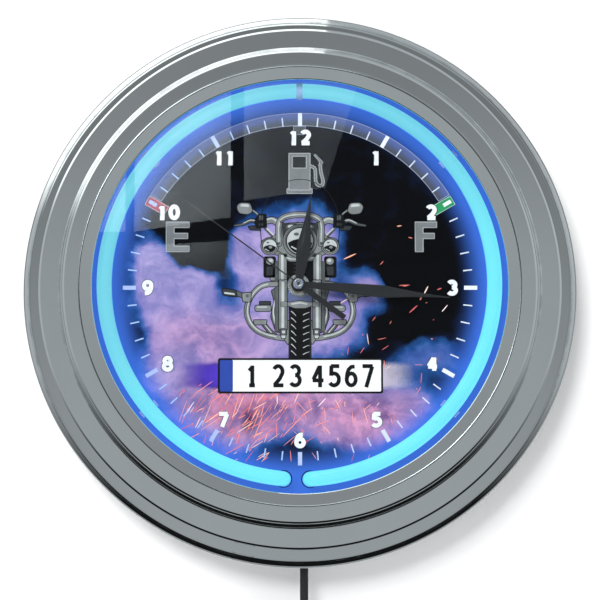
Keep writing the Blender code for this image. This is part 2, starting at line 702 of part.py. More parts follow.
def add_train(axis):
    """Quartz train: the rotor turns 30 times a minute, the seconds wheel once, the centre wheel a
    60th and the hour wheel a 720th of that. The tooth tips stay 0.2 mm apart."""
    for wheel in WHEELS:
        add_wheel(axis, *wheel)
    magnet = [(0, 27), (0.9, 27), (0.9, 23.2), (2.6, 22.8), (2.6, 20.4), (0.5, 20.4), (0.5, 19.5), (0, 19.5)]
    turned("rotor", axis, "steel", [(r * MM, z * MM) for r, z in magnet], 16, (*ROTOR_AT, 0))
    add_knob(axis)


def add_knob(axis):
    """Setting knob behind the movement: its pinion turns the minute wheel."""
    pinion = gear_mesh("setting_knob", 10, 2 * MM, 1.6 * MM, 27.4 * MM, 29 * MM)
    knob = add("setting_knob", pinion, axis, "white_plastic", (*KNOB_AT, 0))
    stem = mesh_of("knob_stem", lambda bm: put_rod(bm, 1 * MM, 15 * MM, 29.4 * MM, sides=12))
    grip = gear_mesh("knob_grip", 18, 6.5 * MM, 6 * MM, 13.5 * MM, 16.9 * MM)
    combine(knob, add("knob_stem", stem, axis, at=(*KNOB_AT, 0)), "UNION")
    combine(knob, add("knob_grip", grip, axis, at=(*KNOB_AT, 0)), "UNION")


def add_motor(axis):
    """Stator, drive coil and the quartz board."""
    hole = circle(3.1 * MM, ROTOR_AT, 20)
    edge = [(6.6 * MM, -12 * MM), (25.6 * MM, -12 * MM), (25.6 * MM, -1.5 * MM), (6.6 * MM, -1.5 * MM)]
    add("stator", outline("stator", [edge, hole], 1.2 * MM), axis, "steel", (0, 0, 21.6 * MM))
    reel = [
        (0, 10 * MM),
        (4.2 * MM, 10 * MM),
        (4.2 * MM, 9 * MM),
        (3.6 * MM, 9 * MM),
        (3.6 * MM, -9 * MM),
        (4.2 * MM, -9 * MM),
        (4.2 * MM, -10 * MM),
        (0, -10 * MM),
    ]
    turned("drive_coil", axis, "copper", reel, 20, (20.5 * MM, 1 * MM, 27.2 * MM), (math.pi / 2, 0, 0))
    box("quartz_board", axis, "board_green", (15 * MM, 12 * MM, 0.8 * MM), (-18 * MM, -10 * MM, 20.4 * MM))
    can = [(0, 3 * MM), (1 * MM, 3 * MM), (1 * MM, -3 * MM), (0, -3 * MM)]
    turned("quartz_crystal", axis, "steel", can, 12, (-20 * MM, -10 * MM, 22.2 * MM), (math.pi / 2, 0, 0))


def add_battery(axis):
    cell = [
        (0, 25 * MM),
        (2.7 * MM, 25 * MM),
        (2.7 * MM, 24 * MM),
        (7.1 * MM, 24 * MM),
        (7.1 * MM, -25 * MM),
        (0, -25 * MM),
    ]
    lying = (0, math.pi / 2, 0)
    turned("battery", axis, "cell_wrap", cell, 24, (0, BATTERY_Y, BATTERY_Z), lying)
    for side, x in (("plus", 25.65 * MM), ("minus", -25.65 * MM)):
        size = (0.5 * MM, 12 * MM, 12 * MM)
        box(f"battery_contact_{side}", axis, "steel", size, (x, BATTERY_Y, BATTERY_Z))


# ---------------------------------------------------------------- hands


def leaf(length, neck, widest, widest_at, tail):
    """Half widths along a leaf hand, from its round eye to a needle tip."""
    side = []
    for t in (0.08, 0.16, 0.26, 0.36, 0.46, 0.56, 0.66, 0.76, 0.86, 0.94, 1.0):
        if t <= widest_at:
            share = t / widest_at
            half = neck + (widest - neck) * (3 * share**2 - 2 * share**3) ** 0.8
        else:
            share = (t - widest_at) / (1 - widest_at)
            half = tail + (widest - tail) * (1 - share) ** 1.5
        side.append((half, t * length))
    return side


def hand_outline(side, eye):
    """Closed outline of a hand that points along +Y from a round eye."""
    foot = side[0][0]
    start = math.degrees(math.asin(foot / eye))
    round_eye = arc(eye, 90 + start, 450 - start, 14)
    return round_eye + side + [(-x, y) for x, y in side[::-1]]


def add_hands(axis):
    tip = 0.35 * MM
    hour = leaf(63 * MM, 2.4 * MM, 4.8 * MM, 0.44, tip)
    minute = leaf(103 * MM, 1.9 * MM, 4.2 * MM, 0.57, tip)
    hands = (
        ("hour_hand", HOUR_ANGLE, hour, 5 * MM, 2.8 * MM, 40.0 * MM),
        ("minute_hand", MINUTE_ANGLE, minute, 4 * MM, 1.8 * MM, 42.3 * MM),
    )
    for name, angle, side, eye, bore, depth in hands:
        curve = outline(name, [hand_outline(side, eye), circle(bore, sides=16)], 0.8 * MM)
        add(name, curve, axis, "hand_black", (0, 0, depth), (0, 0, -math.radians(angle)))
    slim, bar, eye = 0.45 * MM, 1.9 * MM, 3 * MM
    slim_at, bar_at = math.degrees(math.asin(slim / eye)), math.degrees(math.asin(bar / eye))
    edge = (
        arc(eye, 90 + slim_at, 270 - bar_at, 7)
        + [(-bar, -39 * MM), (bar, -39 * MM)]
        + arc(eye, 270 + bar_at, 450 - slim_at, 7)
        + [(slim, 95 * MM), (-slim, 95 * MM)]
    )
    curve = outline("second_hand", [edge, circle(0.85 * MM, sides=12)], 0.6 * MM)
    add("second_hand", curve, axis, "hand_black", (0, 0, 44.4 * MM), (0, 0, -math.radians(SECOND_ANGLE)))
    cap = [
        (0, 47.6 * MM),
        (1.6 * MM, 47.5 * MM),
        (3.0 * MM, 46.9 * MM),
        (3.7 * MM, 46.0 * MM),
        (3.8 * MM, 45.1 * MM),
        (0, 45.1 * MM),
    ]
    turned("hand_cap", axis, "chrome", cap, 24)


def main():
    clock = empty("clock_axis", None, (0, 0, -HANG_DROP), (math.pi / 2, 0, 0))
    axis = empty("movement_axis", clock, (HUB_X, HUB_Y, 0))
    add_back_shell(clock)
    add_bezel(clock)
    add_case_screws(clock)
    add_hanger(clock)
    add_glass_stack(clock)
    add_neon(clock)
    add_supply(clock)
    add_switch(clock)
    add_cord(clock)
    add_movement_case(axis)
    add_train(axis)
    add_motor(axis)
    add_battery(axis)
    add_hands(axis)


clear_scene()
parts = collection("neon_wall_clock")
helpers = collection("cutters_and_guides")
main()
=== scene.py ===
"""Looks of the neon wall clock, laid out as an add-on and run as a script.

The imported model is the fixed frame: +Z up, the wall is the plane y = 0 and the dial faces -Y. Pieces are
drawn in the clock's own millimetres, x to the right, y up and depth away from the wall, on the axis of the
rim, and CLOCK turns them into the frame.
"""

import math

import bmesh
import bpy
from mathutils import Matrix, Vector


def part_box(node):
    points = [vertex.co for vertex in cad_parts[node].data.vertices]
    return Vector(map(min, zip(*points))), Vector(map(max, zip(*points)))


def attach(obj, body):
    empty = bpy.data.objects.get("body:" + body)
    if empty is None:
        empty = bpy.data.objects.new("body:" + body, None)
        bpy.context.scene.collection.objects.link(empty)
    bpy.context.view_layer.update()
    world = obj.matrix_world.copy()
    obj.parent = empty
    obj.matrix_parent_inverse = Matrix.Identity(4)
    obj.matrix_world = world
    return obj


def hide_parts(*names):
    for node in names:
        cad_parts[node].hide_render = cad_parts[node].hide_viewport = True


bl_info = {
    "name": "Neon Wall Clock",
    "version": (1, 0, 0),
    "blender": (4, 5, 0),
    "location": "3D View > Sidebar > Neon Clock",
    "description": "Chromed rim, glass, neon tube, printed dial, hands and cord of a garage wall clock",
    "category": "Add Mesh",
}

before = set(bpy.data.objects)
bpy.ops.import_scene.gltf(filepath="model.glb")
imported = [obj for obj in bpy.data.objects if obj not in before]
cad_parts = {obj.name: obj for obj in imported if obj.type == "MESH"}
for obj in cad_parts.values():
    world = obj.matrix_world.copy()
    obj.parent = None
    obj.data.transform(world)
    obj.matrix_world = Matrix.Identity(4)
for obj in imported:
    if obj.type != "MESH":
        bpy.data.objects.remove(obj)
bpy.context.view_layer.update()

MM = 0.001
RIM_LOW, RIM_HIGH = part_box("bezel")
CENTRE_Z = (RIM_LOW.z + RIM_HIGH.z) / 2
RIM = (RIM_HIGH.x - RIM_LOW.x) / 2 / MM
CLOCK = Matrix.Translation((0, 0, CENTRE_Z)) @ Matrix.Rotation(math.pi / 2, 4, "X") @ Matrix.Scale(MM, 4)
DIAL = -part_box("dial_plate")[0].y / MM  # depth of the dial's face
GLASS_LOW, GLASS_HIGH = -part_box("lens")[1].y / MM, -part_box("lens")[0].y / MM
CAP_LOW, CAP_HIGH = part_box("hand_cap")
HUB = ((CAP_LOW.x + CAP_HIGH.x) / 2 / MM, ((CAP_LOW.z + CAP_HIGH.z) / 2 - CENTRE_Z) / MM)
INK = 0.012  # height of one layer of print
SUNK = DIAL - 0.02  # depth of the underside of print, just inside the dial
SCREW_CIRCLE = 178.0
SWITCH_ANGLE = math.radians(-70)


def place(x, y, depth):
    """A point of the clock's own millimetres, in the frame."""
    return CLOCK @ Vector((x, y, depth))


def middle(node):
    """Middle of a CAD node in the clock's own millimetres."""
    low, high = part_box(node)
    return CLOCK.inverted() @ ((low + high) / 2)


def srgb(*levels):
    """Linear colour from display levels of 0 to 255."""
    shares = (level / 255 for level in levels)
    return tuple(s / 12.92 if s <= 0.04045 else ((s + 0.055) / 1.055) ** 2.4 for s in shares)


# ---------------------------------------------------------------- nodes


class Signal:
    """A node's output. Arithmetic on it adds Math nodes to its tree."""

    def __init__(self, maker, socket):
        self.maker = maker
        self.socket = socket

    def other(self, name):
        """Another output of the same node."""
        return Signal(self.maker, self.socket.node.outputs[name])

    def math(self, operation, *values):
        return self.maker.node("ShaderNodeMath", {"operation": operation}, dict(enumerate(values)))

    def __add__(self, value):
        return self.math("ADD", self, value)

    def __radd__(self, value):
        return self.math("ADD", value, self)

    def __sub__(self, value):
        return self.math("SUBTRACT", self, value)

    def __rsub__(self, value):
        return self.math("SUBTRACT", value, self)

    def __mul__(self, value):
        return self.math("MULTIPLY", self, value)

    def __rmul__(self, value):
        return self.math("MULTIPLY", value, self)

    def __truediv__(self, value):
        return self.math("DIVIDE", self, value)

    def __pow__(self, value):
        return self.math("POWER", self, value)

    def __mod__(self, value):
        return self.math("MODULO", self, value)

    def __abs__(self):
        return self.math("ABSOLUTE", self)

    def clipped(self):
        return self.math("MINIMUM", self.math("MAXIMUM", self, 0.0), 1.0)

    def eased(self, low, high):
        """Smoothly 0 to 1 as the value goes from low to high."""
        return self.maker.node(
            "ShaderNodeMapRange", {"interpolation_type": "SMOOTHSTEP"}, {0: self, 1: low, 2: high}
        )


class Maker:
    """Adds nodes to a tree."""

    def node(self, kind, settings=None, inputs=None, out=0):
        made = self.tree.nodes.new(kind)
        for name, value in (settings or {}).items():
            if name == "stops":
                self.set_stops(made.color_ramp, value)
            else:
                setattr(made, name, value)
        for key, value in (inputs or {}).items():
            if isinstance(value, Signal):
                self.tree.links.new(value.socket, made.inputs[key])
            else:
                made.inputs[key].default_value = value
        return Signal(self, made.outputs[out])

    @staticmethod
    def set_stops(ramp, stops):
        while len(ramp.elements) < len(stops):
            ramp.elements.new(1.0)
        for element, (position, colour) in zip(ramp.elements, stops):
            element.position = position
            element.color = (*colour, 1)

    def vector(self, operation, a, b=None, out=0):
        inputs = {0: a} if b is None else {0: a, 1: b}
        return self.node("ShaderNodeVectorMath", {"operation": operation}, inputs, out)

    def split(self, vector):
        x = self.node("ShaderNodeSeparateXYZ", None, {0: vector})
        return x, x.other("Y"), x.other("Z")

    def join(self, x, y, z):
        return self.node("ShaderNodeCombineXYZ", None, {0: x, 1: y, 2: z})


class Finish(Maker):
    """A material round one Principled shader, patterned on Object coordinates in millimetres."""

    SOCKETS = {
        "colour": "Base Color",
        "roughness": "Roughness",
        "metallic": "Metallic",
        "coat": "Coat Weight",
        "coat_roughness": "Coat Roughness",
        "ior": "IOR",
        "alpha": "Alpha",
        "glow": "Emission Color",
        "glow_strength": "Emission Strength",
        "specular": "Specular IOR Level",
        "normal": "Normal",
    }

    def __init__(self, name):
        self.material = bpy.data.materials.new(name)
        self.material.use_nodes = True
        self.tree = self.material.node_tree
        self.shader = self.tree.nodes["Principled BSDF"]
        self.object = self.node("ShaderNodeTexCoord", None, None, "Object")
        centred = self.vector("SUBTRACT", self.object, (0, 0, CENTRE_Z))
        self.place = self.vector("MULTIPLY", centred, (1 / MM, 1 / MM, 1 / MM))
        self.x, self.depth, self.y = self.split(self.place)

    def set(self, **values):
        for key, value in values.items():
            socket = self.shader.inputs[self.SOCKETS[key]]
            if isinstance(value, Signal):
                self.tree.links.new(value.socket, socket)
            else:
                socket.default_value = (*value, 1) if isinstance(value, tuple) else value
        return self

    def noise(self, size, detail=3.0, rough=0.5, where=None, out=0):
        """Noise whose lumps are about size millimetres."""
        inputs = {"Vector": where or self.place, "Scale": 1 / size, "Detail": detail, "Roughness": rough}
        return self.node("ShaderNodeTexNoise", None, inputs, out)

    def mix(self, share, first, second, blend="MIX"):
        ends = [v if isinstance(v, Signal) else (*v, 1) for v in (first, second)]
        settings = {"data_type": "RGBA", "blend_type": blend}
        return self.node("ShaderNodeMix", settings, {0: share, 6: ends[0], 7: ends[1]}, 2)

    def bump(self, height, distance, strength=1.0):
        inputs = {"Height": height, "Distance": distance * MM, "Strength": strength}
        return self.node("ShaderNodeBump", None, inputs)

    def radius(self, x=0.0, y=0.0):
        """Distance from an axis that runs away from the wall."""
        return ((self.x - x) ** 2 + (self.y - y) ** 2) ** 0.5

    def band(self, value, centre, half):
        """1 on a centre line and 0 past its half width."""
        return 1 - abs(value - centre).eased(0, half)

    def puff(self, where, centre, size):
        """1 in the middle of a soft oval and 0 at its edge; where is a point of the dial."""
        away = self.vector("SUBTRACT", where, (centre[0], 0, centre[1]))
        scaled = self.vector("MULTIPLY", away, (1 / size[0], 0, 1 / size[1]))
        return 1 - self.vector("LENGTH", scaled, out="Value").eased(0.1, 1.0)


def flecked(finish, colour, spread, size):
    """A colour with slow patches a little lighter and darker."""
    darker = tuple(c * (1 - spread) for c in colour)
    lighter = tuple(min(1, c * (1 + spread)) for c in colour)
    return finish.mix(finish.noise(size, 4).eased(0.3, 0.7), darker, lighter)


def chrome(name, colour):
    """Plated and polished: a faint haze, hairlines round the axis, and painted shade in the creases, which
    are also a little rougher.
    """
    made = Finish(name)
    radius = made.radius()
    haze = made.noise(38, 4).eased(0.35, 0.75)
    hairline = made.noise(0.22, 2, 0.6, made.join(radius, made.depth, 0)).eased(0.55, 0.9)
    inner, outer = made.band(radius, 163.4, 1.3), made.band(radius, 186.4, 1.2)
    # painted shade in the creases of the rim: there the colour is darkened and the plating made rougher
    crease_shade = inner.math("MAXIMUM", inner, outer) * made.noise(9, 4).eased(0.2, 0.8)
    plate = flecked(made, colour, 0.02, 60)
    made.set(
        colour=made.mix(crease_shade * 0.55, plate, tuple(c * 0.35 for c in colour)),
        metallic=1.0,
        roughness=0.045 + haze * 0.03 + hairline * 0.03 + crease_shade * 0.25,
        normal=made.bump(made.noise(55, 2), 0.12, 0.25),
    )
    return made.material


def steel(name, colour=(0.55, 0.56, 0.57), roughness=0.3, grain=(0.5, 8, 8)):
    """Rolled and zinc-plated sheet: a directional grain and dull patches."""
    made = Finish(name)
    stretched = made.vector("DIVIDE", made.place, grain)
    lines = made.noise(1, 3, 0.6, stretched)
    patch = made.noise(6, 4).eased(0.3, 0.8)
    made.set(
        colour=flecked(made, colour, 0.14, 4),
        metallic=1.0,
        roughness=roughness + patch * 0.14 + lines * 0.08,
        normal=made.bump(lines, 0.02, 0.5),
    )
    return made.material


def plastic(name, colour, roughness=0.45, grain=0.35, depth=0.03, spread=0.12):
    """Moulded plastic with a spark-eroded grain and slightly polished handling marks."""
    made = Finish(name)
    fine = made.noise(grain, 3, 0.6)
    worn = made.noise(14, 4).eased(0.45, 0.75)
    made.set(
        colour=flecked(made, colour, spread, 9),
        roughness=roughness + fine * 0.1 - worn * 0.1,
        normal=made.bump(fine, depth, 0.6),
    )
    return made.material


def rubber(name, colour=(0.016, 0.016, 0.017), roughness=0.55):
    """Soft flex and rubber: a fine orange skin with a dusty bloom."""
    made = Finish(name)
    skin = made.noise(0.6, 3)
    dust = made.noise(11, 5).eased(0.5, 0.8)
    made.set(
        colour=made.mix(dust * 0.35, colour, (0.05, 0.05, 0.052)),
        roughness=roughness + dust * 0.15 - skin * 0.08,
        normal=made.bump(skin, 0.03, 0.5),
    )
    return made.material


def lacquer(name, colour):
    """Satin paint on thin sheet, with a slight orange peel."""
    made = Finish(name)
    peel = made.noise(1.4, 2)
    made.set(
        colour=flecked(made, colour, 0.1, 12),
        roughness=0.42 + peel * 0.1,
        coat=0.15,
        normal=made.bump(peel, 0.01, 0.4),
    )
    return made.material


def ink(name, colour, spread=0.06):
    """Screen-printed ink: a slightly uneven colour over a fine raster."""
    made = Finish(name)
    raster = made.noise(0.5, 2).eased(0.3, 0.7)
    made.set(
        colour=flecked(made, colour, spread, 7),
        roughness=0.48 + raster * 0.1,
        specular=0.3,
        normal=made.bump(raster, 0.004, 0.4),
    )
    return made.material


def smoke_print():
    """The dial's print: drifts of smoke, blue at their edges, lilac within and pink below, on black, with a
    painted ring of blue tube light near its edge, in its colour and as a glow.
    """
    made = Finish("dial smoke print")
    slow = made.vector("SUBTRACT", made.noise(46, 3, 0.55, out=1), (0.5, 0.5, 0.5))
    quick = made.vector("SUBTRACT", made.noise(13, 4, 0.6, out=1), (0.5, 0.5, 0.5))
    drift = made.vector(
        "ADD", made.vector("MULTIPLY", slow, (34, 0, 34)), made.vector("MULTIPLY", quick, (9, 0, 9))
    )
    where = made.vector("ADD", made.place, drift)
    drifts = (
        ((-6, 24), (50, 48), 1.7),
        ((-86, -6), (42, 40), 1.3),
        ((-52, -30), (62, 34), 1.4),
        ((6, -26), (52, 38), 1.3),
        ((-44, -82), (78, 46), 1.5),
        ((44, -84), (66, 36), 1.4),
        ((46, -4), (24, 24), 0.8),
        ((88, -50), (44, 16), 0.5),
        ((-104, 18), (20, 26), 0.7),
        ((-92, -54), (30, 26), 0.9),
        ((-32, 16), (28, 34), 1.0),
    )
    hollows = (((-72, 34), (25, 31), 2.3), ((86, 12), (32, 52), 1.6), ((70, -29), (30, 11), 1.3))
    thick = 0.0
    for centre, size, weight in drifts:
        thick = thick + weight * made.puff(where, centre, size)
    for centre, size, weight in hollows:
        thick = thick - weight * made.puff(where, centre, size)
    curl = made.noise(17, 7, 0.62, where) - 0.5
    wisp = made.noise(34, 5, 0.6, made.vector("MULTIPLY", where, (1, 1, 1.9))) - 0.5
    thick = (thick + curl * 0.35 + wisp * 0.3).clipped()
    colours = (
        (0.0, srgb(3, 4, 7)),
        (0.12, srgb(9, 20, 44)),
        (0.3, srgb(30, 74, 134)),
        (0.48, srgb(76, 104, 172)),
        (0.68, srgb(138, 130, 190)),
        (1.0, srgb(164, 150, 200)),
    )
    cool = made.node("ShaderNodeValToRGB", {"stops": colours}, {0: thick})
    high = made.y.eased(40, 60) * made.puff(made.place, (0, 40), (56, 40)) * thick.eased(0.1, 0.5)
    cool = made.mix(high * 0.8, cool, srgb(40, 98, 164))
    warmth = (
        made.puff(where, (-34, -78), (78, 44))
        + made.puff(where, (46, -88), (60, 34))
        + 0.55 * made.puff(where, (-62, -34), (60, 26))
    ).clipped()
    warm = made.mix(curl.eased(-0.16, 0.16), srgb(128, 84, 132), srgb(214, 152, 186))
    tinted = made.mix(warmth * thick.eased(0.3, 0.8) * 0.9, cool, warm)
    ember = made.puff(where, (-36, -88), (50, 24)) * curl.eased(-0.12, 0.14)
    tinted = made.mix(ember * 0.65, tinted, srgb(196, 96, 104))
    sooty = made.puff(where, (-36, -92), (11, 16)) + made.puff(where, (40, -108), (40, 9)) * 0.7
    tinted = made.mix(sooty.clipped() * 0.8, tinted, srgb(34, 34, 74))
    fine = made.noise(9, 6, 0.65, where) - 0.5
    share = (wisp * 1.4 + fine * 0.8).eased(-0.26, 0.3)
    pale = made.mix(share, (0.58, 0.64, 0.78), (1.16, 1.12, 1.06))
    tinted = made.mix(1.0, tinted, pale, "MULTIPLY")
    # painted tube light: near the tube the dial turns blue and glows, though the print is no lamp
    tube = made.radius(*TUBE_CENTRE)
    painted_tube_light = tube.eased(TUBE_RING - 27, TUBE_RING - 3) ** 1.6
    glow = made.mix(painted_tube_light, (0, 0, 0), srgb(58, 104, 196))
    under = made.mix(painted_tube_light * 0.8, tinted, srgb(30, 60, 130))
    made.set(
        colour=under,
        roughness=0.55,
        specular=0.1,
        glow=glow,
        glow_strength=1.0,
        normal=made.bump(made.noise(0.5, 2), 0.004, 0.4),
    )
    return made.material


def neon_finish(settings):
    """Lit tube: pale in the middle of its face and blue towards its sides, a little uneven along it."""
    made = Finish("lit neon tube")
    normal = made.node("ShaderNodeTexCoord", None, None, "Normal")
    _, across, _ = made.split(normal)
    facing = (0 - across).eased(0.03, 0.42)
    lower = (made.x * 0.55 - made.y).eased(-60, 90)
    core = made.mix(lower, tuple(settings.neon_core), srgb(112, 234, 244))
    flow = made.noise(24, 3).eased(0.3, 0.75)
    lit = made.mix(facing, tuple(settings.neon_edge), core)
    made.set(
        colour=(0.03, 0.1, 0.14),
        roughness=0.12,
        glow=made.mix(flow * 0.14, lit, srgb(96, 190, 250)),
        glow_strength=1.0,
    )
    return made.material


def lens_finish():
    """Clear glass: what is behind it shows through, with a thin reflection on top."""
    made = Finish("clear lens glass")
    smear = made.noise(30, 4).eased(0.45, 0.8)
    made.set(colour=(0.9, 0.95, 0.96), roughness=0.02 + smear * 0.02, alpha=0.02, specular=0.5)
    clear = made.node("ShaderNodeBsdfTransparent", None, {0: (0.985, 0.992, 0.995, 1)})
    shine = made.node("ShaderNodeBsdfAnisotropic", None, {"Color": (1, 1, 1, 1), "Roughness": 0.01})
    slant = made.node("ShaderNodeLayerWeight", None, {"Blend": 0.5}, "Facing")
    share = 0.017 + slant**5 * 0.98
    both = made.node("ShaderNodeMixShader", None, {0: share, 1: clear, 2: shine})
    output = made.tree.nodes["Material Output"]
    made.tree.links.new(both.socket, output.inputs["Surface"])
    return made.material


def clear_plastic():
    """Clear moulded clip, seen mostly by its edges."""
    made = Finish("clear clip plastic")
    cloud = made.noise(2, 3).eased(0.3, 0.8)
    made.set(colour=srgb(168, 186, 232), roughness=0.18 + cloud * 0.1, alpha=0.5 + cloud * 0.1)
    return made.material


def board_finish(name):
    """Green solder mask with tracks under it and tinned pads."""
    made = Finish(name)
    grid = made.node(
        "ShaderNodeTexBrick",
        {"offset": 0.5},
        {"Vector": made.join(made.x, made.y, 0), "Scale": 0.34, "Mortar Size": 0.09, "Bias": -1.0},
        "Fac",
    )
    tracks = grid * made.noise(7, 1).eased(0.48, 0.52)
    green = flecked(made, (0.03, 0.19, 0.08), 0.2, 5)
    made.set(
        colour=made.mix(tracks * 0.6, green, (0.10, 0.36, 0.15)),
        roughness=0.34 + made.noise(1.5, 2) * 0.2,
        coat=0.3,
        normal=made.bump(tracks, 0.05, 0.5),
    )
    return made.material


def winding_finish():
    """Enamelled copper wire, laid turn by turn along the reel."""
    made = Finish("copper winding")
    turns = made.node(
        "ShaderNodeTexWave", {"bands_direction": "Z"}, {"Vector": made.object, "Scale": 1600.0}, 1
    )
    made.set(
        colour=made.mix(turns, (0.34, 0.10, 0.04), (0.78, 0.36, 0.17)),
        metallic=0.9,
        roughness=0.25 + made.noise(2, 2) * 0.15,
        normal=made.bump(turns, 0.08, 0.7),
    )
    return made.material


def cell_finish(name):
    """Shrink sleeve of a dry cell: a dark body, a copper-coloured end band and a thin pale line."""
    made = Finish(name)
    top = made.x.eased(11.6, 11.9)
    line = made.band(made.x, 11.2, 0.4)
    body = made.mix(top, (0.02, 0.022, 0.03), (0.55, 0.24, 0.08))
    made.set(
        colour=made.mix(line, body, (0.75, 0.75, 0.72)),
        metallic=0.35,
        roughness=0.26 + made.noise(3, 3) * 0.16,
        coat=0.5,
    )
    return made.material


# ---------------------------------------------------------------- shapes


def plain_mesh(obj, name):
    """The evaluated object as a plain mesh; the source object is removed."""
    graph = bpy.context.evaluated_depsgraph_get()
    mesh = bpy.data.meshes.new_from_object(obj.evaluated_get(graph))
    mesh.name = name
    obj.modifiers.clear()
    bpy.data.objects.remove(obj)
    return mesh


def closed(bm, name):
    """The mesh of a bmesh, which is freed."""
    mesh = bpy.data.meshes.new(name)
    bm.to_mesh(mesh)
    bm.free()
    return mesh


def joined(name, meshes):
    bm = bmesh.new()
    for mesh in meshes:
        bm.from_mesh(mesh)
    return closed(bm, name)


def tidied(mesh, merge=0.0005):
    """Doubles merged and faces turned outwards."""
    bm = bmesh.new()
    bm.from_mesh(mesh)
    bmesh.ops.remove_doubles(bm, verts=bm.verts, dist=merge)
    bmesh.ops.dissolve_degenerate(bm, edges=bm.edges, dist=merge)
    bmesh.ops.recalc_face_normals(bm, faces=bm.faces)
    bm.to_mesh(mesh)
    bm.free()
    return mesh


def shaded(mesh, angle=35):
    mesh.shade_smooth()
    mesh.set_sharp_from_angle(angle=math.radians(angle))
    return mesh


def linked(name, data):
    obj = bpy.data.objects.new(name, data)
    bpy.context.scene.collection.objects.link(obj)
    return obj


def piece(name, mesh, finish, body="clock", stands_for=(), local=True, angle=35):
    """A finished piece from a mesh in the clock's own millimetres, or in the frame if it isn't local."""
    if local:
        mesh.transform(CLOCK)
    shaded(mesh, angle)
    if finish:
        mesh.materials.clear()
        mesh.materials.append(finish)
    obj = linked(name, mesh)
    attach(obj, body)
    if stands_for:
        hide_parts(*stands_for)
    return obj


def paint(finish, *names):
    """Gives CAD nodes a finish."""
    for name in names:
        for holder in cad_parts[name].material_slots:
            holder.material = finish


def softened(corners, steps=6, keep_flat=0.0):
    """Points through corners, each (radius, depth, rounding): a corner with rounding becomes a curve.

    keep_flat adds a point on the straight run at either side of a curve, so that its shading ends there.
    """
    points = []
    count = len(corners)
    for i, (r, z, rounding) in enumerate(corners):
        here = Vector((r, z))
        if not rounding:
            points.append(here)
            continue
        before = Vector(corners[i - 1][:2]) - here
        after = Vector(corners[(i + 1) % count][:2]) - here
        start = here + before.normalized() * min(rounding, before.length * 0.46)
        end = here + after.normalized() * min(rounding, after.length * 0.46)
        if keep_flat:
            points.append(start + before.normalized() * min(keep_flat, before.length * 0.03))
        for k in range(steps + 1):
            t = k / steps
            points.append(start * (1 - t) ** 2 + here * 2 * t * (1 - t) + end * t**2)
        if keep_flat:
            points.append(end + after.normalized() * min(keep_flat, after.length * 0.03))
    return points


def poly_curve(name, loops, closed=True, flat=False):
    curve = bpy.data.curves.new(name, "CURVE")
    curve.dimensions = "2D" if flat else "3D"
    for loop in loops:
        spline = curve.splines.new("POLY")
        spline.points.add(len(loop) - 1)
        spline.use_cyclic_u = closed
        for point, spot in zip(spline.points, loop):
            point.co = (*spot, 1) if len(spot) == 3 else (*spot, 0, 1)
    return curve


class Tree(Maker):
    """A Geometry Nodes group with named inputs, whose result becomes a plain mesh."""

    def __init__(self, name):
        self.tree = bpy.data.node_groups.new(name, "GeometryNodeTree")
        self.tree.interface.new_socket("Geometry", in_out="OUTPUT", socket_type="NodeSocketGeometry")
        self.enter = self.tree.nodes.new("NodeGroupInput")
        self.identifiers = {}

    def inputs(self, **kinds):
        """Named inputs of the group, each with its kind of socket."""
        for name, kind in kinds.items():
            socket = self.tree.interface.new_socket(name, in_out="INPUT", socket_type="NodeSocket" + kind)
            self.identifiers[name] = socket.identifier
        return [Signal(self, self.enter.outputs[name]) for name in kinds]

    def shape(self, obj):
        return self.node("GeometryNodeObjectInfo", None, {"Object": obj}, "Geometry")

    def copies(self, count, spots, shape, **how):
        """Copies of a shape on points of their own."""
        points = self.node("GeometryNodePoints", None, {"Count": count, "Position": spots})
        return self.node("GeometryNodeInstanceOnPoints", None, {"Points": points, "Instance": shape, **how})

    def end(self, geometry):
        """Realizes the instances, sets the material and closes the group."""
        real = self.node("GeometryNodeRealizeInstances", None, {0: geometry})
        (material,) = self.inputs(Material="Material")
        done = self.node("GeometryNodeSetMaterial", None, {"Geometry": real, "Material": material})
        leave = self.tree.nodes.new("NodeGroupOutput")
        self.tree.links.new(done.socket, leave.inputs[0])
        return self

    def made(self, name, **values):
        """Runs the group with these inputs and returns its mesh."""
        holder = linked(name, bpy.data.meshes.new(name))
        modifier = holder.modifiers.new(name, "NODES")
        modifier.node_group = self.tree
        for key, value in values.items():
            modifier[self.identifiers[key.replace("_", " ").capitalize()]] = value
        return plain_mesh(holder, name)


def turning_tree():
    """Turns a profile curve round the clock's axis: its X is outward and its Y towards the wall."""
    tree = Tree("Turned piece")
    profile, radius, segments = tree.inputs(Profile="Object", Radius="Float", Segments="Int")
    circle = tree.node("GeometryNodeCurvePrimitiveCircle", None, {"Resolution": segments, "Radius": radius})
    values = {"Curve": circle, "Profile Curve": tree.shape(profile)}
    skin = tree.node("GeometryNodeCurveToMesh", None, values)
    return tree.end(tree.node("GeometryNodeMergeByDistance", None, {"Geometry": skin, "Distance": 0.0005}))


def ring_tree():
    """Copies of an object round the clock's axis, an equal step apart, leaving out every so many."""
    tree = Tree("Ring of copies")
    shape, count, start, step, radius, depth, skip = tree.inputs(
        Shape="Object", Count="Int", Start="Float", Step="Float", Radius="Float", Depth="Float", Skip="Int"
    )
    index = tree.node("GeometryNodeInputIndex")
    turn = start + step * index
    spot = tree.join(radius * turn.math("SINE", turn), radius * turn.math("COSINE", turn), depth)
    how = {"Selection": (index + 1) % skip, "Rotation": tree.join(0, 0, 0 - turn)}
    return tree.end(tree.copies(count, spot, tree.shape(shape), **how))


def row_tree():
    """Pairs of mirrored copies down a line, for the tread of the tyre."""
    tree = Tree("Tread marks")
    shape, count, pitch, top, aside, lean, depth = tree.inputs(
        Shape="Object", Count="Int", Pitch="Float", Top="Float", Aside="Float", Lean="Float", Depth="Float"
    )
    index = tree.node("GeometryNodeInputIndex")
    side = (index % 2) * 2 - 1
    row = index.math("FLOOR", index / 2)
    spot = tree.join(side * aside, top - row * pitch, depth)
    return tree.end(tree.copies(count, spot, tree.shape(shape), Rotation=tree.join(0, 0, side * lean)))


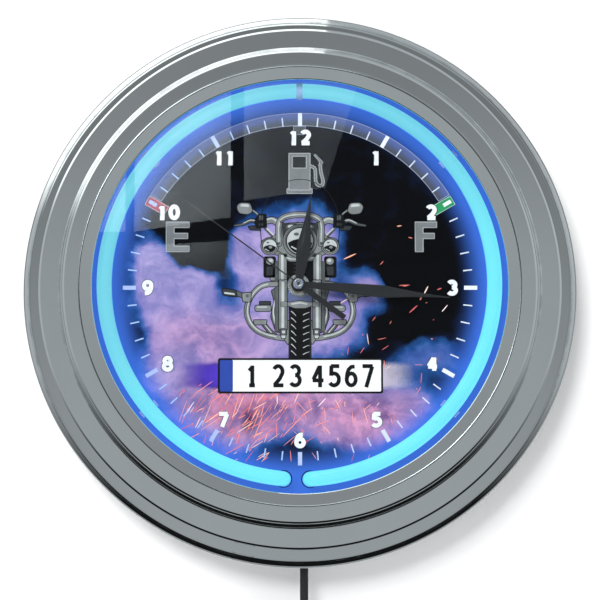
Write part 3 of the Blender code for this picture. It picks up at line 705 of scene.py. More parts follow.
def spark_tree():
    """Short streaks strewn over an oval of the dial, most of them in its middle, fanned round one way."""
    tree = Tree("Shower of sparks")
    count, seed, centre, spread = tree.inputs(Count="Int", Seed="Int", Centre="Vector", Spread="Vector")
    length, width, lean, fan = tree.inputs(Length="Float", Width="Float", Lean="Float", Fan="Float")

    def chance(low, high, salt):
        values = {2: low, 3: high, 8: seed + salt}
        return tree.node("FunctionNodeRandomValue", {"data_type": "FLOAT"}, values, 1)

    across = (chance(-1, 1, 11) + chance(-1, 1, 23)) * 0.5
    along = (chance(-1, 1, 37) + chance(-1, 1, 51)) * 0.5
    offset = tree.vector("MULTIPLY", spread, tree.join(across, along, 0))
    ball = tree.node("GeometryNodeMeshIcoSphere", None, {"Radius": 1.0, "Subdivisions": 1})
    size = tree.join(width * chance(0.6, 1.3, 67), length * chance(0.25, 1, 71) ** 1.5, INK * 4)
    turn = tree.join(0, 0, lean + fan * chance(-1, 1, 83))
    strewn = tree.copies(count, tree.vector("ADD", centre, offset), ball, Rotation=turn, Scale=size)
    toned = tree.node(
        "GeometryNodeStoreNamedAttribute",
        {"data_type": "FLOAT", "domain": "INSTANCE"},
        {"Geometry": strewn, "Name": "tone", "Value": chance(0, 1, 97)},
    )
    return tree.end(toned)


def tube_tree():
    """A round tube along a route, with closed ends."""
    tree = Tree("Tube on a route")
    route, radius, sides = tree.inputs(Route="Object", Radius="Float", Sides="Int")
    circle = tree.node("GeometryNodeCurvePrimitiveCircle", None, {"Resolution": sides, "Radius": radius})
    skin = tree.node(
        "GeometryNodeCurveToMesh", None, {
            "Curve": tree.shape(route), "Profile Curve": circle, "Fill Caps": True
        }
    )
    return tree.end(tree.node("GeometryNodeMergeByDistance", None, {"Geometry": skin, "Distance": 0.0005}))


TREES = {}


def tree(kind):
    """One group of each kind, built when it is first wanted."""
    makers = {
        "turn": turning_tree, "ring": ring_tree, "row": row_tree, "spark": spark_tree, "tube": tube_tree
    }
    if kind not in TREES:
        TREES[kind] = makers[kind]()
    return TREES[kind]


def turned(name, corners, segments=192, steps=6, at=(0, 0), turn=None):
    """A turned mesh from (radius, depth, rounding) corners; it is solid if they start on the axis."""
    solid = corners[0][0] == 0
    points = softened(corners, steps, 0.12)
    reach = max(p.x for p in points)
    guide = linked(name + " profile", poly_curve(name, [[(p.x - reach, -p.y) for p in points]], not solid))
    mesh = tree("turn").made(name, Profile=guide, Radius=reach, Segments=segments)
    bpy.data.objects.remove(guide)
    mesh.transform(Matrix.Translation((*at, 0)) @ (turn or Matrix()))
    return tidied(mesh)


def box_mesh(name, size, bevel=0.0):
    bm = bmesh.new()
    bmesh.ops.create_cube(bm, size=1, matrix=Matrix.Diagonal((*size, 1)))
    if bevel:
        bmesh.ops.bevel(bm, geom=bm.edges[:], offset=bevel, segments=2, affect="EDGES", profile=0.7)
    return closed(bm, name)


def ring_of(name, shape, count, radius, depth, start=0.0, step=None, skip=1_000_000):
    """A mesh of copies of a shape mesh round the axis; start and step are in degrees."""
    guide = linked(name + " shape", shape)
    mesh = tree("ring").made(
        name,
        Shape=guide,
        Count=count,
        Radius=radius,
        Depth=depth,
        Start=math.radians(start),
        Step=math.radians(step or 360 / count),
        Skip=skip,
    )
    bpy.data.objects.remove(guide)
    return mesh


def cut(mesh, cutters):
    """The mesh with others cut from it."""
    obj = linked("cut", mesh)
    helpers = [linked("cutter", cutter) for cutter in cutters]
    for helper in helpers:
        boolean = obj.modifiers.new("cut", "BOOLEAN")
        boolean.operation = "DIFFERENCE"
        boolean.object = helper
    made = plain_mesh(obj, mesh.name)
    for helper in helpers:
        bpy.data.objects.remove(helper)
    return made


def moved(mesh, x, y, z, turn=None):
    mesh.transform(Matrix.Translation((x, y, z)) @ (turn or Matrix()))
    return mesh


def rod(radius, low, high, sides=32):
    """A round cutter along the clock's axis."""
    return turned("rod", [(0, high, 0), (radius, high, 0), (radius, low, 0), (0, low, 0)], sides)


def slab(name, loops, low, high, grow=0.0):
    """A flat plate between two depths; the first loop is its edge, the others are holes."""
    curve = poly_curve(name, loops, flat=True)
    curve.fill_mode = "BOTH"
    curve.extrude = (high - low) / 2
    curve.offset = grow
    mesh = tidied(plain_mesh(linked(name, curve), name))
    mesh.transform(Matrix.Translation((0, 0, (low + high) / 2)))
    return mesh


def oval(x, y, rx, ry=None, sides=40):
    turns = (2 * math.pi * i / sides for i in range(sides))
    return [(x + rx * math.cos(t), y + (ry or rx) * math.sin(t)) for t in turns]


def block(x0, y0, x1, y1, rounding=0.0):
    corners = [(x0, y0, rounding), (x1, y0, rounding), (x1, y1, rounding), (x0, y1, rounding)]
    return [tuple(p) for p in softened(corners, 5)]


def loop_of(*corners, rounding=0.6):
    """A closed outline of straight runs with rounded corners."""
    return [tuple(p) for p in softened([(x, y, rounding) for x, y in corners], 5)]


def eased_path(points, steps=8):
    """Points of the smooth curve through a route's own points."""
    spots = [Vector(p) for p in points]
    ends = [2 * spots[0] - spots[1], *spots, 2 * spots[-1] - spots[-2]]
    fine = []
    for a, b, c, d in zip(ends, ends[1:], ends[2:], ends[3:]):
        for i in range(steps):
            t = i / steps
            bend = (-a + 3 * b - 3 * c + d) * t**3 + (2 * a - 5 * b + 4 * c - d) * t**2
            fine.append(0.5 * (2 * b + (c - a) * t + bend))
    return [*fine, spots[-1]]


def stroke(points, width, end_width=None, steps=8):
    """Outline of a bar of this width along a smooth route, with round ends."""
    path = eased_path(points, steps)
    last = len(path) - 1
    halves = [(width + ((end_width or width) - width) * i / last) / 2 for i in range(last + 1)]
    left, right = [], []
    for i, spot in enumerate(path):
        way = (path[min(i + 1, last)] - path[max(i - 1, 0)]).normalized()
        side = Vector((-way.y, way.x)) * halves[i]
        left.append(tuple(spot + side))
        right.append(tuple(spot - side))

    def round_end(spot, way, half):
        base = math.atan2(way.y, way.x)
        turns = (base + math.pi / 2 - math.pi * k / 6 for k in range(1, 6))
        return [(spot.x + half * math.cos(t), spot.y + half * math.sin(t)) for t in turns]

    head = round_end(path[-1], (path[-1] - path[-2]), halves[-1])
    tail = round_end(path[0], (path[0] - path[1]), halves[0])
    return left + head + right[::-1] + tail


def mirrored(loop):
    return [(-x, y) for x, y in reversed(loop)]


class Print:
    """Inks laid one over another on the dial and kept as one mesh."""

    def __init__(self, name):
        self.name = name
        self.bm = bmesh.new()
        self.inks = []

    def lay(self, loop, level, finish, grow=0.0):
        """One flat shape of ink whose top is so many layers up."""
        self.take(slab("ink", [loop], SUNK, DIAL + INK * level, grow), finish)

    def take(self, mesh, finish):
        if finish not in self.inks:
            self.inks.append(finish)
        before = len(self.bm.faces)
        self.bm.from_mesh(mesh)
        self.bm.faces.ensure_lookup_table()
        for face in self.bm.faces[before:]:
            face.material_index = self.inks.index(finish)
        bpy.data.meshes.remove(mesh)

    def outlined(self, loop, level, finish, edge, line=0.4, both=False):
        """A shape with a line of another ink round it, and its mirror image if both sides are wanted."""
        for shape in (loop, mirrored(loop)) if both else (loop,):
            self.lay(shape, level, edge, line)
            self.lay(shape, level + 1, finish)

    def inlaid(self, loop, level, finish, edge, line=0.7):
        """A shape whose line lies inside its outline."""
        self.lay(loop, level, edge)
        self.lay(loop, level + 1, finish, -line)

    def done(self):
        obj = piece(self.name, closed(self.bm, self.name), None, angle=20)
        for finish in self.inks:
            obj.data.materials.append(finish)
        return obj


def bow(x, y, rx, ry, start, end, steps=20):
    """Points along an oval between two angles, counter-clockwise from the right."""
    turns = (math.radians(start + (end - start) * i / steps) for i in range(steps + 1))
    return [(x + rx * math.cos(t), y + ry * math.sin(t)) for t in turns]


def round_again(points):
    """The same strokes turned half round."""
    return [(1 - x, 1 - y) for x, y in points]


# centre lines of the figures' strokes, in a box of 1 by 1
SIX = (
    bow(0.5, 0.31, 0.47, 0.31, 0, 360),
    [(0.03, 0.33), (0.07, 0.58), (0.22, 0.82), (0.5, 0.96), (0.86, 0.98)],
)
FIGURES = {
    "0": (bow(0.5, 0.5, 0.48, 0.5, 0, 360),),
    "1": ([(0.62, 0.0), (0.62, 1.03)], [(0.62, 0.94), (0.16, 0.76)], [(0.18, 0.0), (1.0, 0.0)]),
    "2": (
        bow(0.46, 0.72, 0.46, 0.28, 155, -22) + [(0.62, 0.34), (0.08, 0.02)], [(-0.04, 0.0), (1.02, 0.0)]
    ),
    "3": (bow(0.44, 0.76, 0.43, 0.24, 150, -88), bow(0.44, 0.27, 0.5, 0.27, 88, -150)),
    "4": ([(0.72, 1.03), (0.72, -0.1)], [(0.66, 0.98), (0.02, 0.30)], [(-0.06, 0.26), (1.08, 0.26)]),
    "5": ([(0.98, 1.0), (0.1, 1.0)], [(0.16, 1.03), (0.12, 0.5)], bow(0.42, 0.31, 0.52, 0.31, 128, -145)),
    "6": SIX,
    "7": ([(-0.04, 1.0), (1.04, 1.0)], [(0.98, 0.98), (0.34, -0.1)]),
    "8": (bow(0.5, 0.76, 0.4, 0.24, 0, 360), bow(0.5, 0.27, 0.48, 0.27, 0, 360)),
    "9": tuple(round_again(line) for line in SIX),
}


def ribbon(bm, path, width, low, high):
    """Adds a flat bar along a path to a mesh; a path that ends where it starts becomes a ring."""
    ring = (Vector(path[0]) - Vector(path[-1])).length < 0.001
    spots = [Vector(p) for p in (path[:-1] if ring else path)]
    count = len(spots)
    sections = []
    for i, spot in enumerate(spots):
        before = spots[i - 1] if ring or i else spot
        after = spots[(i + 1) % count] if ring or i < count - 1 else spot
        way = (after - before).normalized()
        side = Vector((-way.y, way.x)) * width / 2
        corners = ((spot + side, low), (spot + side, high), (spot - side, high), (spot - side, low))
        sections.append([bm.verts.new((*corner, z)) for corner, z in corners])
    pairs = list(zip(sections, sections[1:] + sections[:1]))
    for a, b in pairs if ring else pairs[:-1]:
        for k in range(4):
            bm.faces.new((a[k], b[k], b[(k + 1) % 4], a[(k + 1) % 4]))
    if not ring:
        bm.faces.new(sections[0])
        bm.faces.new(sections[-1][::-1])


def lettering(text, height, x, y, level, width, bar, grow=0.0, gap=1.0):
    """A mesh of figures, middle at (x, y); width is one figure's and bar its strokes'."""
    widths = [width * (0.82 if figure == "1" else 1.0) for figure in text]
    left = x - (sum(widths) + gap * (len(text) - 1)) / 2
    low = y - height / 2 + bar / 2
    bm = bmesh.new()
    for figure, wide in zip(text, widths):
        for k, line in enumerate(FIGURES[figure]):
            path = [(left + bar / 2 + px * (wide - bar), low + py * (height - bar)) for px, py in line]
            ribbon(bm, path, bar + 2 * grow, SUNK, DIAL + INK * (level + 0.5 * k))
        left += wide + gap
    bmesh.ops.recalc_face_normals(bm, faces=bm.faces)
    return closed(bm, "figures")


# ---------------------------------------------------------------- settings

TUBE_CENTRE = (-0.4, 2.0)
TUBE_RING, TUBE_RADIUS, TUBE_DEPTH, TUBE_BEND = 132.5, 5.2, 44.0, 7.0
LEGS = (-11.2, 6.8)
CORD_X, CORD_DEPTH = (middle("plug_sleeve").x, middle("plug_sleeve").z)
COIL = middle("cord_coil")


def colour_property(name, description, levels):
    return bpy.props.FloatVectorProperty(
        name=name, description=description, subtype="COLOR", size=3, min=0, max=1, default=srgb(*levels)
    )


def length_property(name, description, default):
    return bpy.props.FloatProperty(
        name=name, description=description, subtype="DISTANCE", unit="LENGTH", default=default * MM
    )


class ClockColours(bpy.types.PropertyGroup):
    """Colours that a user would change."""

    chrome: colour_property("Chrome", "Colour of the plated rim", (232, 236, 237))
    neon_core: colour_property("Tube Middle", "Light from the middle of the tube", (112, 204, 218))
    neon_edge: colour_property("Tube Sides", "Light from the sides of the tube", (70, 140, 232))
    figures: colour_property("Figures", "Ink of the hour figures and marks", (236, 237, 240))
    warning: colour_property("Empty Mark", "Ink of the mark at the empty end of the gauge", (170, 62, 86))
    good: colour_property("Full Mark", "Ink of the mark at the full end of the gauge", (40, 150, 92))
    hands: colour_property("Hands", "Paint of the three hands", (34, 35, 37))
    plate: colour_property("Number Plate", "Ground of the number plate", (242, 242, 240))


class ClockSizes(bpy.types.PropertyGroup):
    """Sizes that a user would change."""

    rim_segments: bpy.props.IntProperty(
        name="Rim Segments", description="Faces round the turned pieces", default=288, min=48, max=512
    )
    figure_height: length_property("Figure Height", "Height of the hour figures", 11.0)
    figure_radius: length_property("Figure Radius", "Radius of the ring of hour figures", 104.0)
    mark_inner: length_property("Mark Start", "Radius where the marks start", 112.0)
    mark_outer: length_property("Mark End", "Radius where the hour marks end", 121.0)
    cord_diameter: length_property("Cord Diameter", "Outer diameter of the flex", 5.6)
    coil_turns: bpy.props.IntProperty(
        name="Coil Turns", description="Turns of the put-away cord", default=9, min=1, max=9
    )
    spark_seed: bpy.props.IntProperty(name="Spark Seed", description="Seed of the strewn sparks", default=7)


class PieceOperator:
    """What the operators of this clock share."""

    bl_options = {"REGISTER", "UNDO"}

    def execute(self, context):
        self.make(context.scene.clock_colours, context.scene.clock_sizes)
        return {"FINISHED"}


# ---------------------------------------------------------------- stage


def aimed(obj, spot, target):
    obj.location = spot
    obj.rotation_euler = (Vector(target) - Vector(spot)).to_track_quat("-Z", "Y").to_euler()
    return obj


class CLOCK_OT_stage(PieceOperator, bpy.types.Operator):
    """Camera, wall, floor, world and lights"""

    bl_idname = "clock.stage"
    bl_label = "Stage"

    DISTANCE = 1.5
    RISE = math.radians(-6)  # the camera looks up at the clock
    LENS = 130.9
    AIM = (0, -7.2, 24)  # what lies in the middle of the picture

    def make(self, colours, sizes):
        bpy.context.scene.view_settings.view_transform = "Standard"
        target = place(*self.AIM)
        camera = linked("camera", bpy.data.cameras.new("camera"))
        camera.data.sensor_width = 36
        camera.data.lens = self.LENS
        back = Vector((0, -math.cos(self.RISE), math.sin(self.RISE)))
        aimed(camera, target + back * self.DISTANCE, target)
        bpy.context.scene.camera = camera
        self.wall_and_floor()
        self.world()
        self.lights(place(0, 0, 0))
        self.window()

    def wall_and_floor(self):
        wall = linked("wall", box_mesh("wall", (6, 0.004, 4)))
        wall.data.transform(Matrix.Translation((0, 0.0035, 0.6)))
        pale = Finish("pale wall")
        paper = flecked(pale, (0.8, 0.8, 0.8), 0.01, 300)
        pale.set(colour=paper, roughness=0.9, specular=0.05, glow=(1.0, 1.0, 1.0), glow_strength=0.16)
        _, away, _ = pale.split(pale.node("ShaderNodeNewGeometry", None, None, "Normal"))
        clear = pale.node("ShaderNodeBsdfTransparent")
        both = pale.node("ShaderNodeMixShader", None, {0: away.eased(-0.5, -0.4)})
        pale.tree.links.new(pale.shader.outputs[0], both.socket.node.inputs[1])
        pale.tree.links.new(clear.socket, both.socket.node.inputs[2])
        pale.tree.links.new(both.socket, pale.tree.nodes["Material Output"].inputs["Surface"])
        wall.data.materials.append(pale.material)
        floor = linked("floor", box_mesh("floor", (8, 8, 0.01)))
        floor.data.transform(Matrix.Translation((0, -1, -0.64)))
        floor_finish = Finish("pale floor")
        floor_finish.set(colour=flecked(floor_finish, (0.8, 0.8, 0.8), 0.01, 300), roughness=0.8)
        floor.data.materials.append(floor_finish.material)
        for obj in (wall, floor):
            obj.visible_glossy = False
            obj.visible_shadow = False
            obj.visible_transmission = False
        wall.visible_diffuse = False

    def world(self):
        """A grey studio: darker above the camera, lighter below it, and dark under the clock."""
        world = bpy.data.worlds.new("studio")
        world.use_nodes = True
        bpy.context.scene.world = world
        maker = Maker()
        maker.tree = world.node_tree
        ray = maker.node("ShaderNodeTexCoord", None, None, "Generated")
        x, y, z = maker.split(ray)

        def sky(*stops):
            """Greys by height, from straight down to straight up, as (height, level)."""
            tinted = [((height + 1) / 2, (level * 0.94, level, level * 1.03)) for height, level in stops]
            return maker.node("ShaderNodeValToRGB", {"stops": tinted}, {0: z * 0.5 + 0.5})

        def blend(share, first, second):
            return maker.node("ShaderNodeMix", {"data_type": "RGBA"}, {0: share, 6: first, 7: second}, 2)

        ahead = sky((-1, 0.39), (-0.2, 0.385), (0.14, 0.355), (0.46, 0.25), (0.8, 0.2))
        rim_light = sky((-0.6, 0.008), (-0.42, 0.16), (-0.15, 0.46), (0.3, 0.52), (1, 0.46))
        ahead = blend((0 - y).eased(0.62, 0.74), rim_light, ahead)
        beside = sky((-1, 0.37), (-0.6, 0.36), (0, 0.28), (0.45, 0.2), (0.72, 0.17), (0.86, 0.38))
        behind = sky((-0.62, 0.006), (-0.5, 0.13), (-0.3, 0.3), (0, 0.46), (0.7, 0.5))
        # a tall white reflector stands behind the upper left
        low_end = (0 - x - 1.9 * z).eased(-0.25, 0.25)
        high_end = (x - 0.09 * z).eased(-0.004, 0.004)
        reflector = (1 - low_end) * (1 - high_end) * (z + 0.3).eased(0.0, 0.3)
        white = (1.6, 1.65, 1.65, 1)
        behind = blend(reflector, behind, white)
        # the dark end of the room, behind the camera
        dark = 1 - (x**2 + (z - 0.108) ** 2).eased(0.0102, 0.0145)
        ahead = blend(dark * (0 - y).eased(0.5, 0.6), ahead, (0.07, 0.075, 0.08, 1))
        light = blend(y.eased(-0.05, 0.2), ahead, beside)
        light = blend(reflector * y.eased(-0.56, -0.5) * (1 - y.eased(0.2, 0.28)), light, white)
        light = blend((y - 0.1 * z).eased(0.81, 0.84), light, behind)
        seen = maker.node("ShaderNodeLightPath", None, None, "Is Camera Ray")
        backdrop = blend(seen, light, (1.0, 1.0, 1.0, 1))
        ground = world.node_tree.nodes["Background"]
        world.node_tree.links.new(backdrop.socket, ground.inputs["Color"])

    def lights(self, centre):
        sun = linked("key", bpy.data.lights.new("key", "SUN"))
        sun.data.energy = 2.8
        sun.data.angle = math.radians(28)
        sun.visible_glossy = False
        aimed(sun, centre + Vector((-0.42, -1.0, 0.62)), centre)
        fill = bpy.data.lights.new("rear fill", "AREA")
        fill.shape = "RECTANGLE"
        fill.size, fill.size_y = 1.2, 1.0
        fill.energy = 30
        rear = aimed(linked("rear fill", fill), centre + Vector((0.9, 1.5, 0.7)), centre)
        rear.visible_camera = False
        rear.visible_glossy = False

    def window(self):
        """Panes that only the glass mirrors, over the upper left of the dial."""
        eye = bpy.context.scene.camera.location
        glass = place(0, 0, GLASS_HIGH).y
        reach = -38.0  # how far behind the camera the panes stand
        mirror = Vector((eye.x, 2 * glass - eye.y, eye.z))
        far = eye.y + reach

        def seen_at(x, y):
            spot = place(x, y, GLASS_HIGH)
            return mirror + (spot - mirror) * ((far - mirror.y) / (spot.y - mirror.y))

        panes = (
            ((-150, 145), (-118, 145), (-118, 36), (-150, 36)),
            ((-112, 145), (-47, 145), (-47, 46), (-112, 36)),
            ((-38, 145), (42, 145), (17, 66), (-38, 57)),
            ((-112, 26), (-47, 30), (-47, 4), (-112, -4)),
        )
        mesh = bpy.data.meshes.new("window panes")
        spots = [seen_at(x, y) for pane in panes for x, y in pane]
        mesh.from_pydata(spots, [], [tuple(range(4 * i, 4 * i + 4)) for i in range(len(panes))])
        obj = linked("window panes", mesh)
        lit = bpy.data.materials.new("window light")
        lit.use_nodes = True
        lit.node_tree.nodes.remove(lit.node_tree.nodes["Principled BSDF"])
        maker = Maker()
        maker.tree = lit.node_tree
        where = maker.node("ShaderNodeTexCoord", None, None, "Object")
        x, _, z = maker.split(where)
        cloud = maker.node("ShaderNodeTexNoise", None, {"Vector": where, "Scale": 0.9, "Detail": 4.0})
        strength = (0.9 + (0 - x).eased(0.0, 2.8) * 2.6) * (z.eased(4.0, 6.2) + 0.15) * (0.5 + cloud)
        shine = maker.node("ShaderNodeEmission", None, {"Color": (0.9, 1.0, 1.06, 1), "Strength": strength})
        lit.node_tree.links.new(shine.socket, lit.node_tree.nodes["Material Output"].inputs["Surface"])
        mesh.materials.append(lit)
        obj.visible_camera = False
        obj.visible_diffuse = False
        obj.visible_shadow = False


# ---------------------------------------------------------------- cord


class CLOCK_OT_cord(PieceOperator, bpy.types.Operator):
    """Mains cord with its gland, tied coil and plug"""

    bl_idname = "clock.cord"
    bl_label = "Cord and Plug"

    RINGS = (24.2, 30.0, 35.8)  # radii of the turns, from the coil's middle
    LAYERS = (-5.8, 0.0, 5.8)  # depths of the turns, from the coil's middle
    # ring and layer of each turn, each beside the one before it
    ORDER = ((2, 0), (1, 0), (0, 0), (0, 1), (0, 2), (1, 2), (1, 1), (2, 1), (2, 2))
    PER_TURN = 28
    # how far down the plug, and its width and thickness there as shares of the most
    STATIONS = (
        (0, 0.36, 0.62),
        (0.1, 0.47, 0.8),
        (0.32, 0.66, 0.82),
        (0.6, 0.93, 0.95),
        (0.85, 1, 1),
        (1, 0.96, 0.94),
    )
    PLUG_SIDES = 24

    def make(self, colours, sizes):
        flex = rubber("black flex")
        points = self.route(sizes.coil_turns)
        curve = poly_curve("mains_cord", [[place(*p) for p in points]], closed=False)
        curve.bevel_resolution = 5
        curve.use_fill_caps = True
        curve.bevel_depth = sizes.cord_diameter / 2
        curve.materials.append(flex)
        cord = linked("mains_cord", curve)
        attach(cord, "clock")
        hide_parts("power_cord", "cord_coil", "cord_tail")
        cord.visible_glossy = False
        gland = self.gland(flex)
        plug = self.plug(flex)
        brass = steel("plug pin nickel", (0.72, 0.70, 0.62), 0.18, (8, 8, 0.5))
        paint(brass, "plug_pin_left", "plug_pin_right")
        tie = self.tie()
        length = sum((b - a).length for a, b in zip(points, points[1:])) * MM

    def route(self, turns):
        """Down from the gland, round the coil and on to the plug's sleeve."""
        ring, back = self.RINGS[2], self.LAYERS[0]
        aside = COIL.x + ring
        top = middle("cord_gland").y - 11.4
        down = [
            (CORD_X, top, CORD_DEPTH),
            (CORD_X, top - 6, CORD_DEPTH),
            (CORD_X, top - 12, CORD_DEPTH),
            (CORD_X, top - 18, CORD_DEPTH),
            (CORD_X, top - 25, CORD_DEPTH),
            (CORD_X + 0.9, top - 34, CORD_DEPTH + back * 0.2),
            (CORD_X + 3.6, top - 46, CORD_DEPTH + back * 0.66),
            (CORD_X + 5.5, top - 57, CORD_DEPTH + back * 0.96),
        ]
        points = [Vector(p) for p in down]
        for i in range(turns * self.PER_TURN + 1):
            turn, share = divmod(i / self.PER_TURN, 1)
            here = self.ORDER[min(int(turn), turns - 1)]
            after = self.ORDER[min(int(turn) + 1, turns - 1)]
            t = max(0.0, (share - 0.7) / 0.3)
            t = t * t * (3 - 2 * t)
            radius = self.RINGS[here[0]] + (self.RINGS[after[0]] - self.RINGS[here[0]]) * t
            depth = self.LAYERS[here[1]] + (self.LAYERS[after[1]] - self.LAYERS[here[1]]) * t
            angle = -2 * math.pi * i / self.PER_TURN
            points.append(
                Vector(
                    (COIL.x + radius * math.cos(angle), COIL.y + radius * math.sin(angle), COIL.z + depth)
                )
            )
        front = self.LAYERS[2]
        end = middle("plug_sleeve").y + 6.2
        leave = [
            (aside - 0.2, COIL.y - 9, CORD_DEPTH + front),
            (CORD_X + 4.0, COIL.y - 20, CORD_DEPTH + front * 0.7),
            (CORD_X + 1.2, COIL.y - 30, CORD_DEPTH + front * 0.25),
            (CORD_X, COIL.y - 37, CORD_DEPTH),
            (CORD_X, end, CORD_DEPTH),
        ]
        return points + [Vector(p) for p in leave]

    def gland(self, flex):
        """Tapered strain relief with soft rings, and the collar in the pan's wall."""
        top = middle("cord_gland").y + 11
        corners = [(0, -22, 0), (3.55, -22, 0.4)]
        for ring in range(5):
            low = -21.0 + ring * 1.7
            grow = 3.6 + ring * 0.16
            neck = grow - 0.5
            corners += [
                (grow, low, 0.2), (grow, low + 1.0, 0.2), (neck, low + 1.15, 0.1), (neck, low + 1.6, 0.1)
            ]
        corners += [
            (4.6, -9, 0.3), (6.5, -8.3, 0.5), (6.5, -6.3, 0.5), (5, -6.3, 0), (5, -3.2, 0), (6.5, -3.2, 0.4)
        ]
        corners += [(6.5, 0, 0.8), (0, 0, 0)]
        turn = Matrix.Translation((CORD_X, top, CORD_DEPTH)) @ Matrix.Rotation(-math.pi / 2, 4, "X")
        mesh = turned("strain_relief", corners, 48, 4, turn=turn)
        gland = piece("strain_relief", mesh, flex, stands_for=["cord_gland"])
        gland.visible_glossy = False
        return gland

    def plug(self, flex):
        """Ribbed sleeve and the flat, waisted plug body."""
        sleeve_top = middle("plug_sleeve").y + 6
        corners = [(0, 0, 0), (3.5, 0, 0.5)]
        for ring in range(4):
            low = -2.2 - ring * 2.5
            grow = 3.9 + ring * 0.38
            neck = grow - 0.6
            corners += [
                (neck, low + 0.9, 0.15),
                (grow, low + 0.6, 0.2),
                (grow, low - 0.7, 0.2),
                (neck, low - 1.0, 0.15),
            ]
        corners += [(5.1, -12, 0.3), (0, -12, 0)]
        turn = Matrix.Translation((CORD_X, sleeve_top, CORD_DEPTH)) @ Matrix.Rotation(-math.pi / 2, 4, "X")
        mesh = turned("plug_strain_sleeve", corners[::-1], 40, 3, turn=turn)
        sleeve = piece("plug_strain_sleeve", mesh, flex, stands_for=["plug_sleeve"])
        low, high = (CLOCK.inverted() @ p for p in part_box("plug_body"))
        top, bottom = max(low.y, high.y), min(low.y, high.y)
        wide, thick = abs(high.x - low.x) / 2, abs(high.z - low.z) / 2
        bm = bmesh.new()
        rings = []
        for share, broad, deep in self.STATIONS:
            y = top + (bottom - top) * share
            ring = []
            for k in range(self.PLUG_SIDES):
                t = 2 * math.pi * k / self.PLUG_SIDES
                c, s = math.cos(t), math.sin(t)
                x = wide * broad * math.copysign(abs(c) ** 0.45, c)
                z = thick * deep * math.copysign(abs(s) ** 0.6, s)
                ring.append(bm.verts.new((CORD_X + x, y, CORD_DEPTH + z)))
            rings.append(ring)
        for a, b in zip(rings, rings[1:]):
            for k in range(self.PLUG_SIDES):
                after = (k + 1) % self.PLUG_SIDES
                bm.faces.new((a[k], a[after], b[after], b[k]))
        bm.faces.new(rings[0][::-1])
        bm.faces.new(rings[-1])
        bmesh.ops.recalc_face_normals(bm, faces=bm.faces)
        spot = ((top + bottom) / 2 + 1, CORD_DEPTH + thick * 0.93)
        grips = [moved(box_mesh("grip", (1.1, 12, 0.9), 0.2), CORD_X + x, *spot) for x in (-6, -3, 0, 3, 6)]
        mesh = cut(closed(bm, "moulded_plug"), grips)
        body = piece("moulded_plug", mesh, flex, stands_for=["plug_body"], angle=30)
        return [sleeve, body]

    def tie(self):
        """A hook-and-loop strap round the bundle."""
        low, high = (CLOCK.inverted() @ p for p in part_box("cord_tie"))
        half_x, half_z = abs(high.x - low.x) / 2, abs(high.z - low.z) / 2
        cx, cz = (low.x + high.x) / 2, (low.z + high.z) / 2
        outer = block(-half_x, -half_z, half_x, half_z, 3.5)
        inner = block(-half_x + 1.1, -half_z + 1.1, half_x - 1.1, half_z - 1.1, 3.0)
        mesh = slab("cord_strap", [outer, inner], -3, 3)
        turn = Matrix.Rotation(math.pi / 2, 4, "X")
        mesh.transform(Matrix.Translation((cx, (low.y + high.y) / 2, cz)) @ turn)
        weave = Finish("woven strap")
        threads = weave.node(
            "ShaderNodeTexWave", {"bands_direction": "Z"}, {"Vector": weave.object, "Scale": 700.0}, 1
        )
        weave.set(
            colour=weave.mix(threads, (0.012, 0.012, 0.013), (0.035, 0.035, 0.037)),
            roughness=0.85,
            normal=weave.bump(threads, 0.1, 0.8),
        )
        return piece("cord_strap", mesh, weave.material, stands_for=["cord_tie"])


# ---------------------------------------------------------------- rim, glass and tube


class CLOCK_OT_rim(PieceOperator, bpy.types.Operator):
    """Two-step chromed rim with its case screws"""

    bl_idname = "clock.rim"
    bl_label = "Chromed Rim"

    # how far in from the rim's edge, how far from the wall, and how round
    FACE = (
        (49.8, 55.7, 0.4),
        (49.5, 57.1, 0.7),
        (40.6, 58.72, 1.6),
        (29.6, 56.3, 2.2),
        (27.0, 49.2, 1.6),
        (12.6, 46.75, 2.2),
        (4.4, 29.3, 1.2),
        (0.9, 27.5, 1.0),
        (0.0, 25.8, 0.8),
        (0.0, 23.2, 1.6),
        (3.3, 22.1, 0.5),
    )
    BACK = (
        (4.8, 26.6, 0.8),
        (14.4, 45.2, 1.6),
        (28.4, 47.6, 1.0),
        (31.0, 55.0, 1.4),
        (40.6, 57.3, 5.0),
        (48.6, 55.7, 0.3),
    )

    def make(self, colours, sizes):
        plating = chrome("polished chrome", tuple(colours.chrome))
        corners = [(RIM - inset, depth, rounding) for inset, depth, rounding in self.FACE + self.BACK]
        mesh = turned("chrome_rim", corners, sizes.rim_segments, 7)
        lug = [(0, 36, 0), (3.5, 36, 0.4), (3.5, 28.3, 0.3), (1.8, 28.3, 0), (1.8, 34.6, 0), (0, 34.6, 0)]
        lugs = ring_of("lugs", turned("lug", lug, 24, 3), 4, SCREW_CIRCLE, 0, 45)
        mesh = joined("chrome_rim", [mesh, lugs])
        piece("chrome_rim", mesh, plating, stands_for=["bezel"], angle=50)
        self.screws()

    def screws(self):
        """Cross-recessed case screws, seen from behind."""
        low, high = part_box("case_screw_1")
        back, front = -high.y / MM, -low.y / MM
        corners = [
            (0, front, 0),
            (1.5, front, 0.3),
            (1.5, back + 2.6, 0),
            (3.2, back + 2.5, 0.2),
            (2.7, back + 0.3, 0.8),
        ]
        corners += [(0, back, 0)]
        head = turned("screw", corners, 32, 4)
        slots = [
            moved(box_mesh("slot", size), 0, 0, back + 0.4) for size in ((3.4, 0.7, 1.6), (0.7, 3.4, 1.6))
        ]
        mesh = ring_of("case_screws", cut(head, slots), 4, SCREW_CIRCLE, 0, 45)
        names = [f"case_screw_{i}" for i in range(1, 5)]
        zinc = steel("zinc screw", (0.6, 0.6, 0.61), 0.28, (3, 3, 3))
        piece("case_screws", mesh, zinc, stands_for=names)


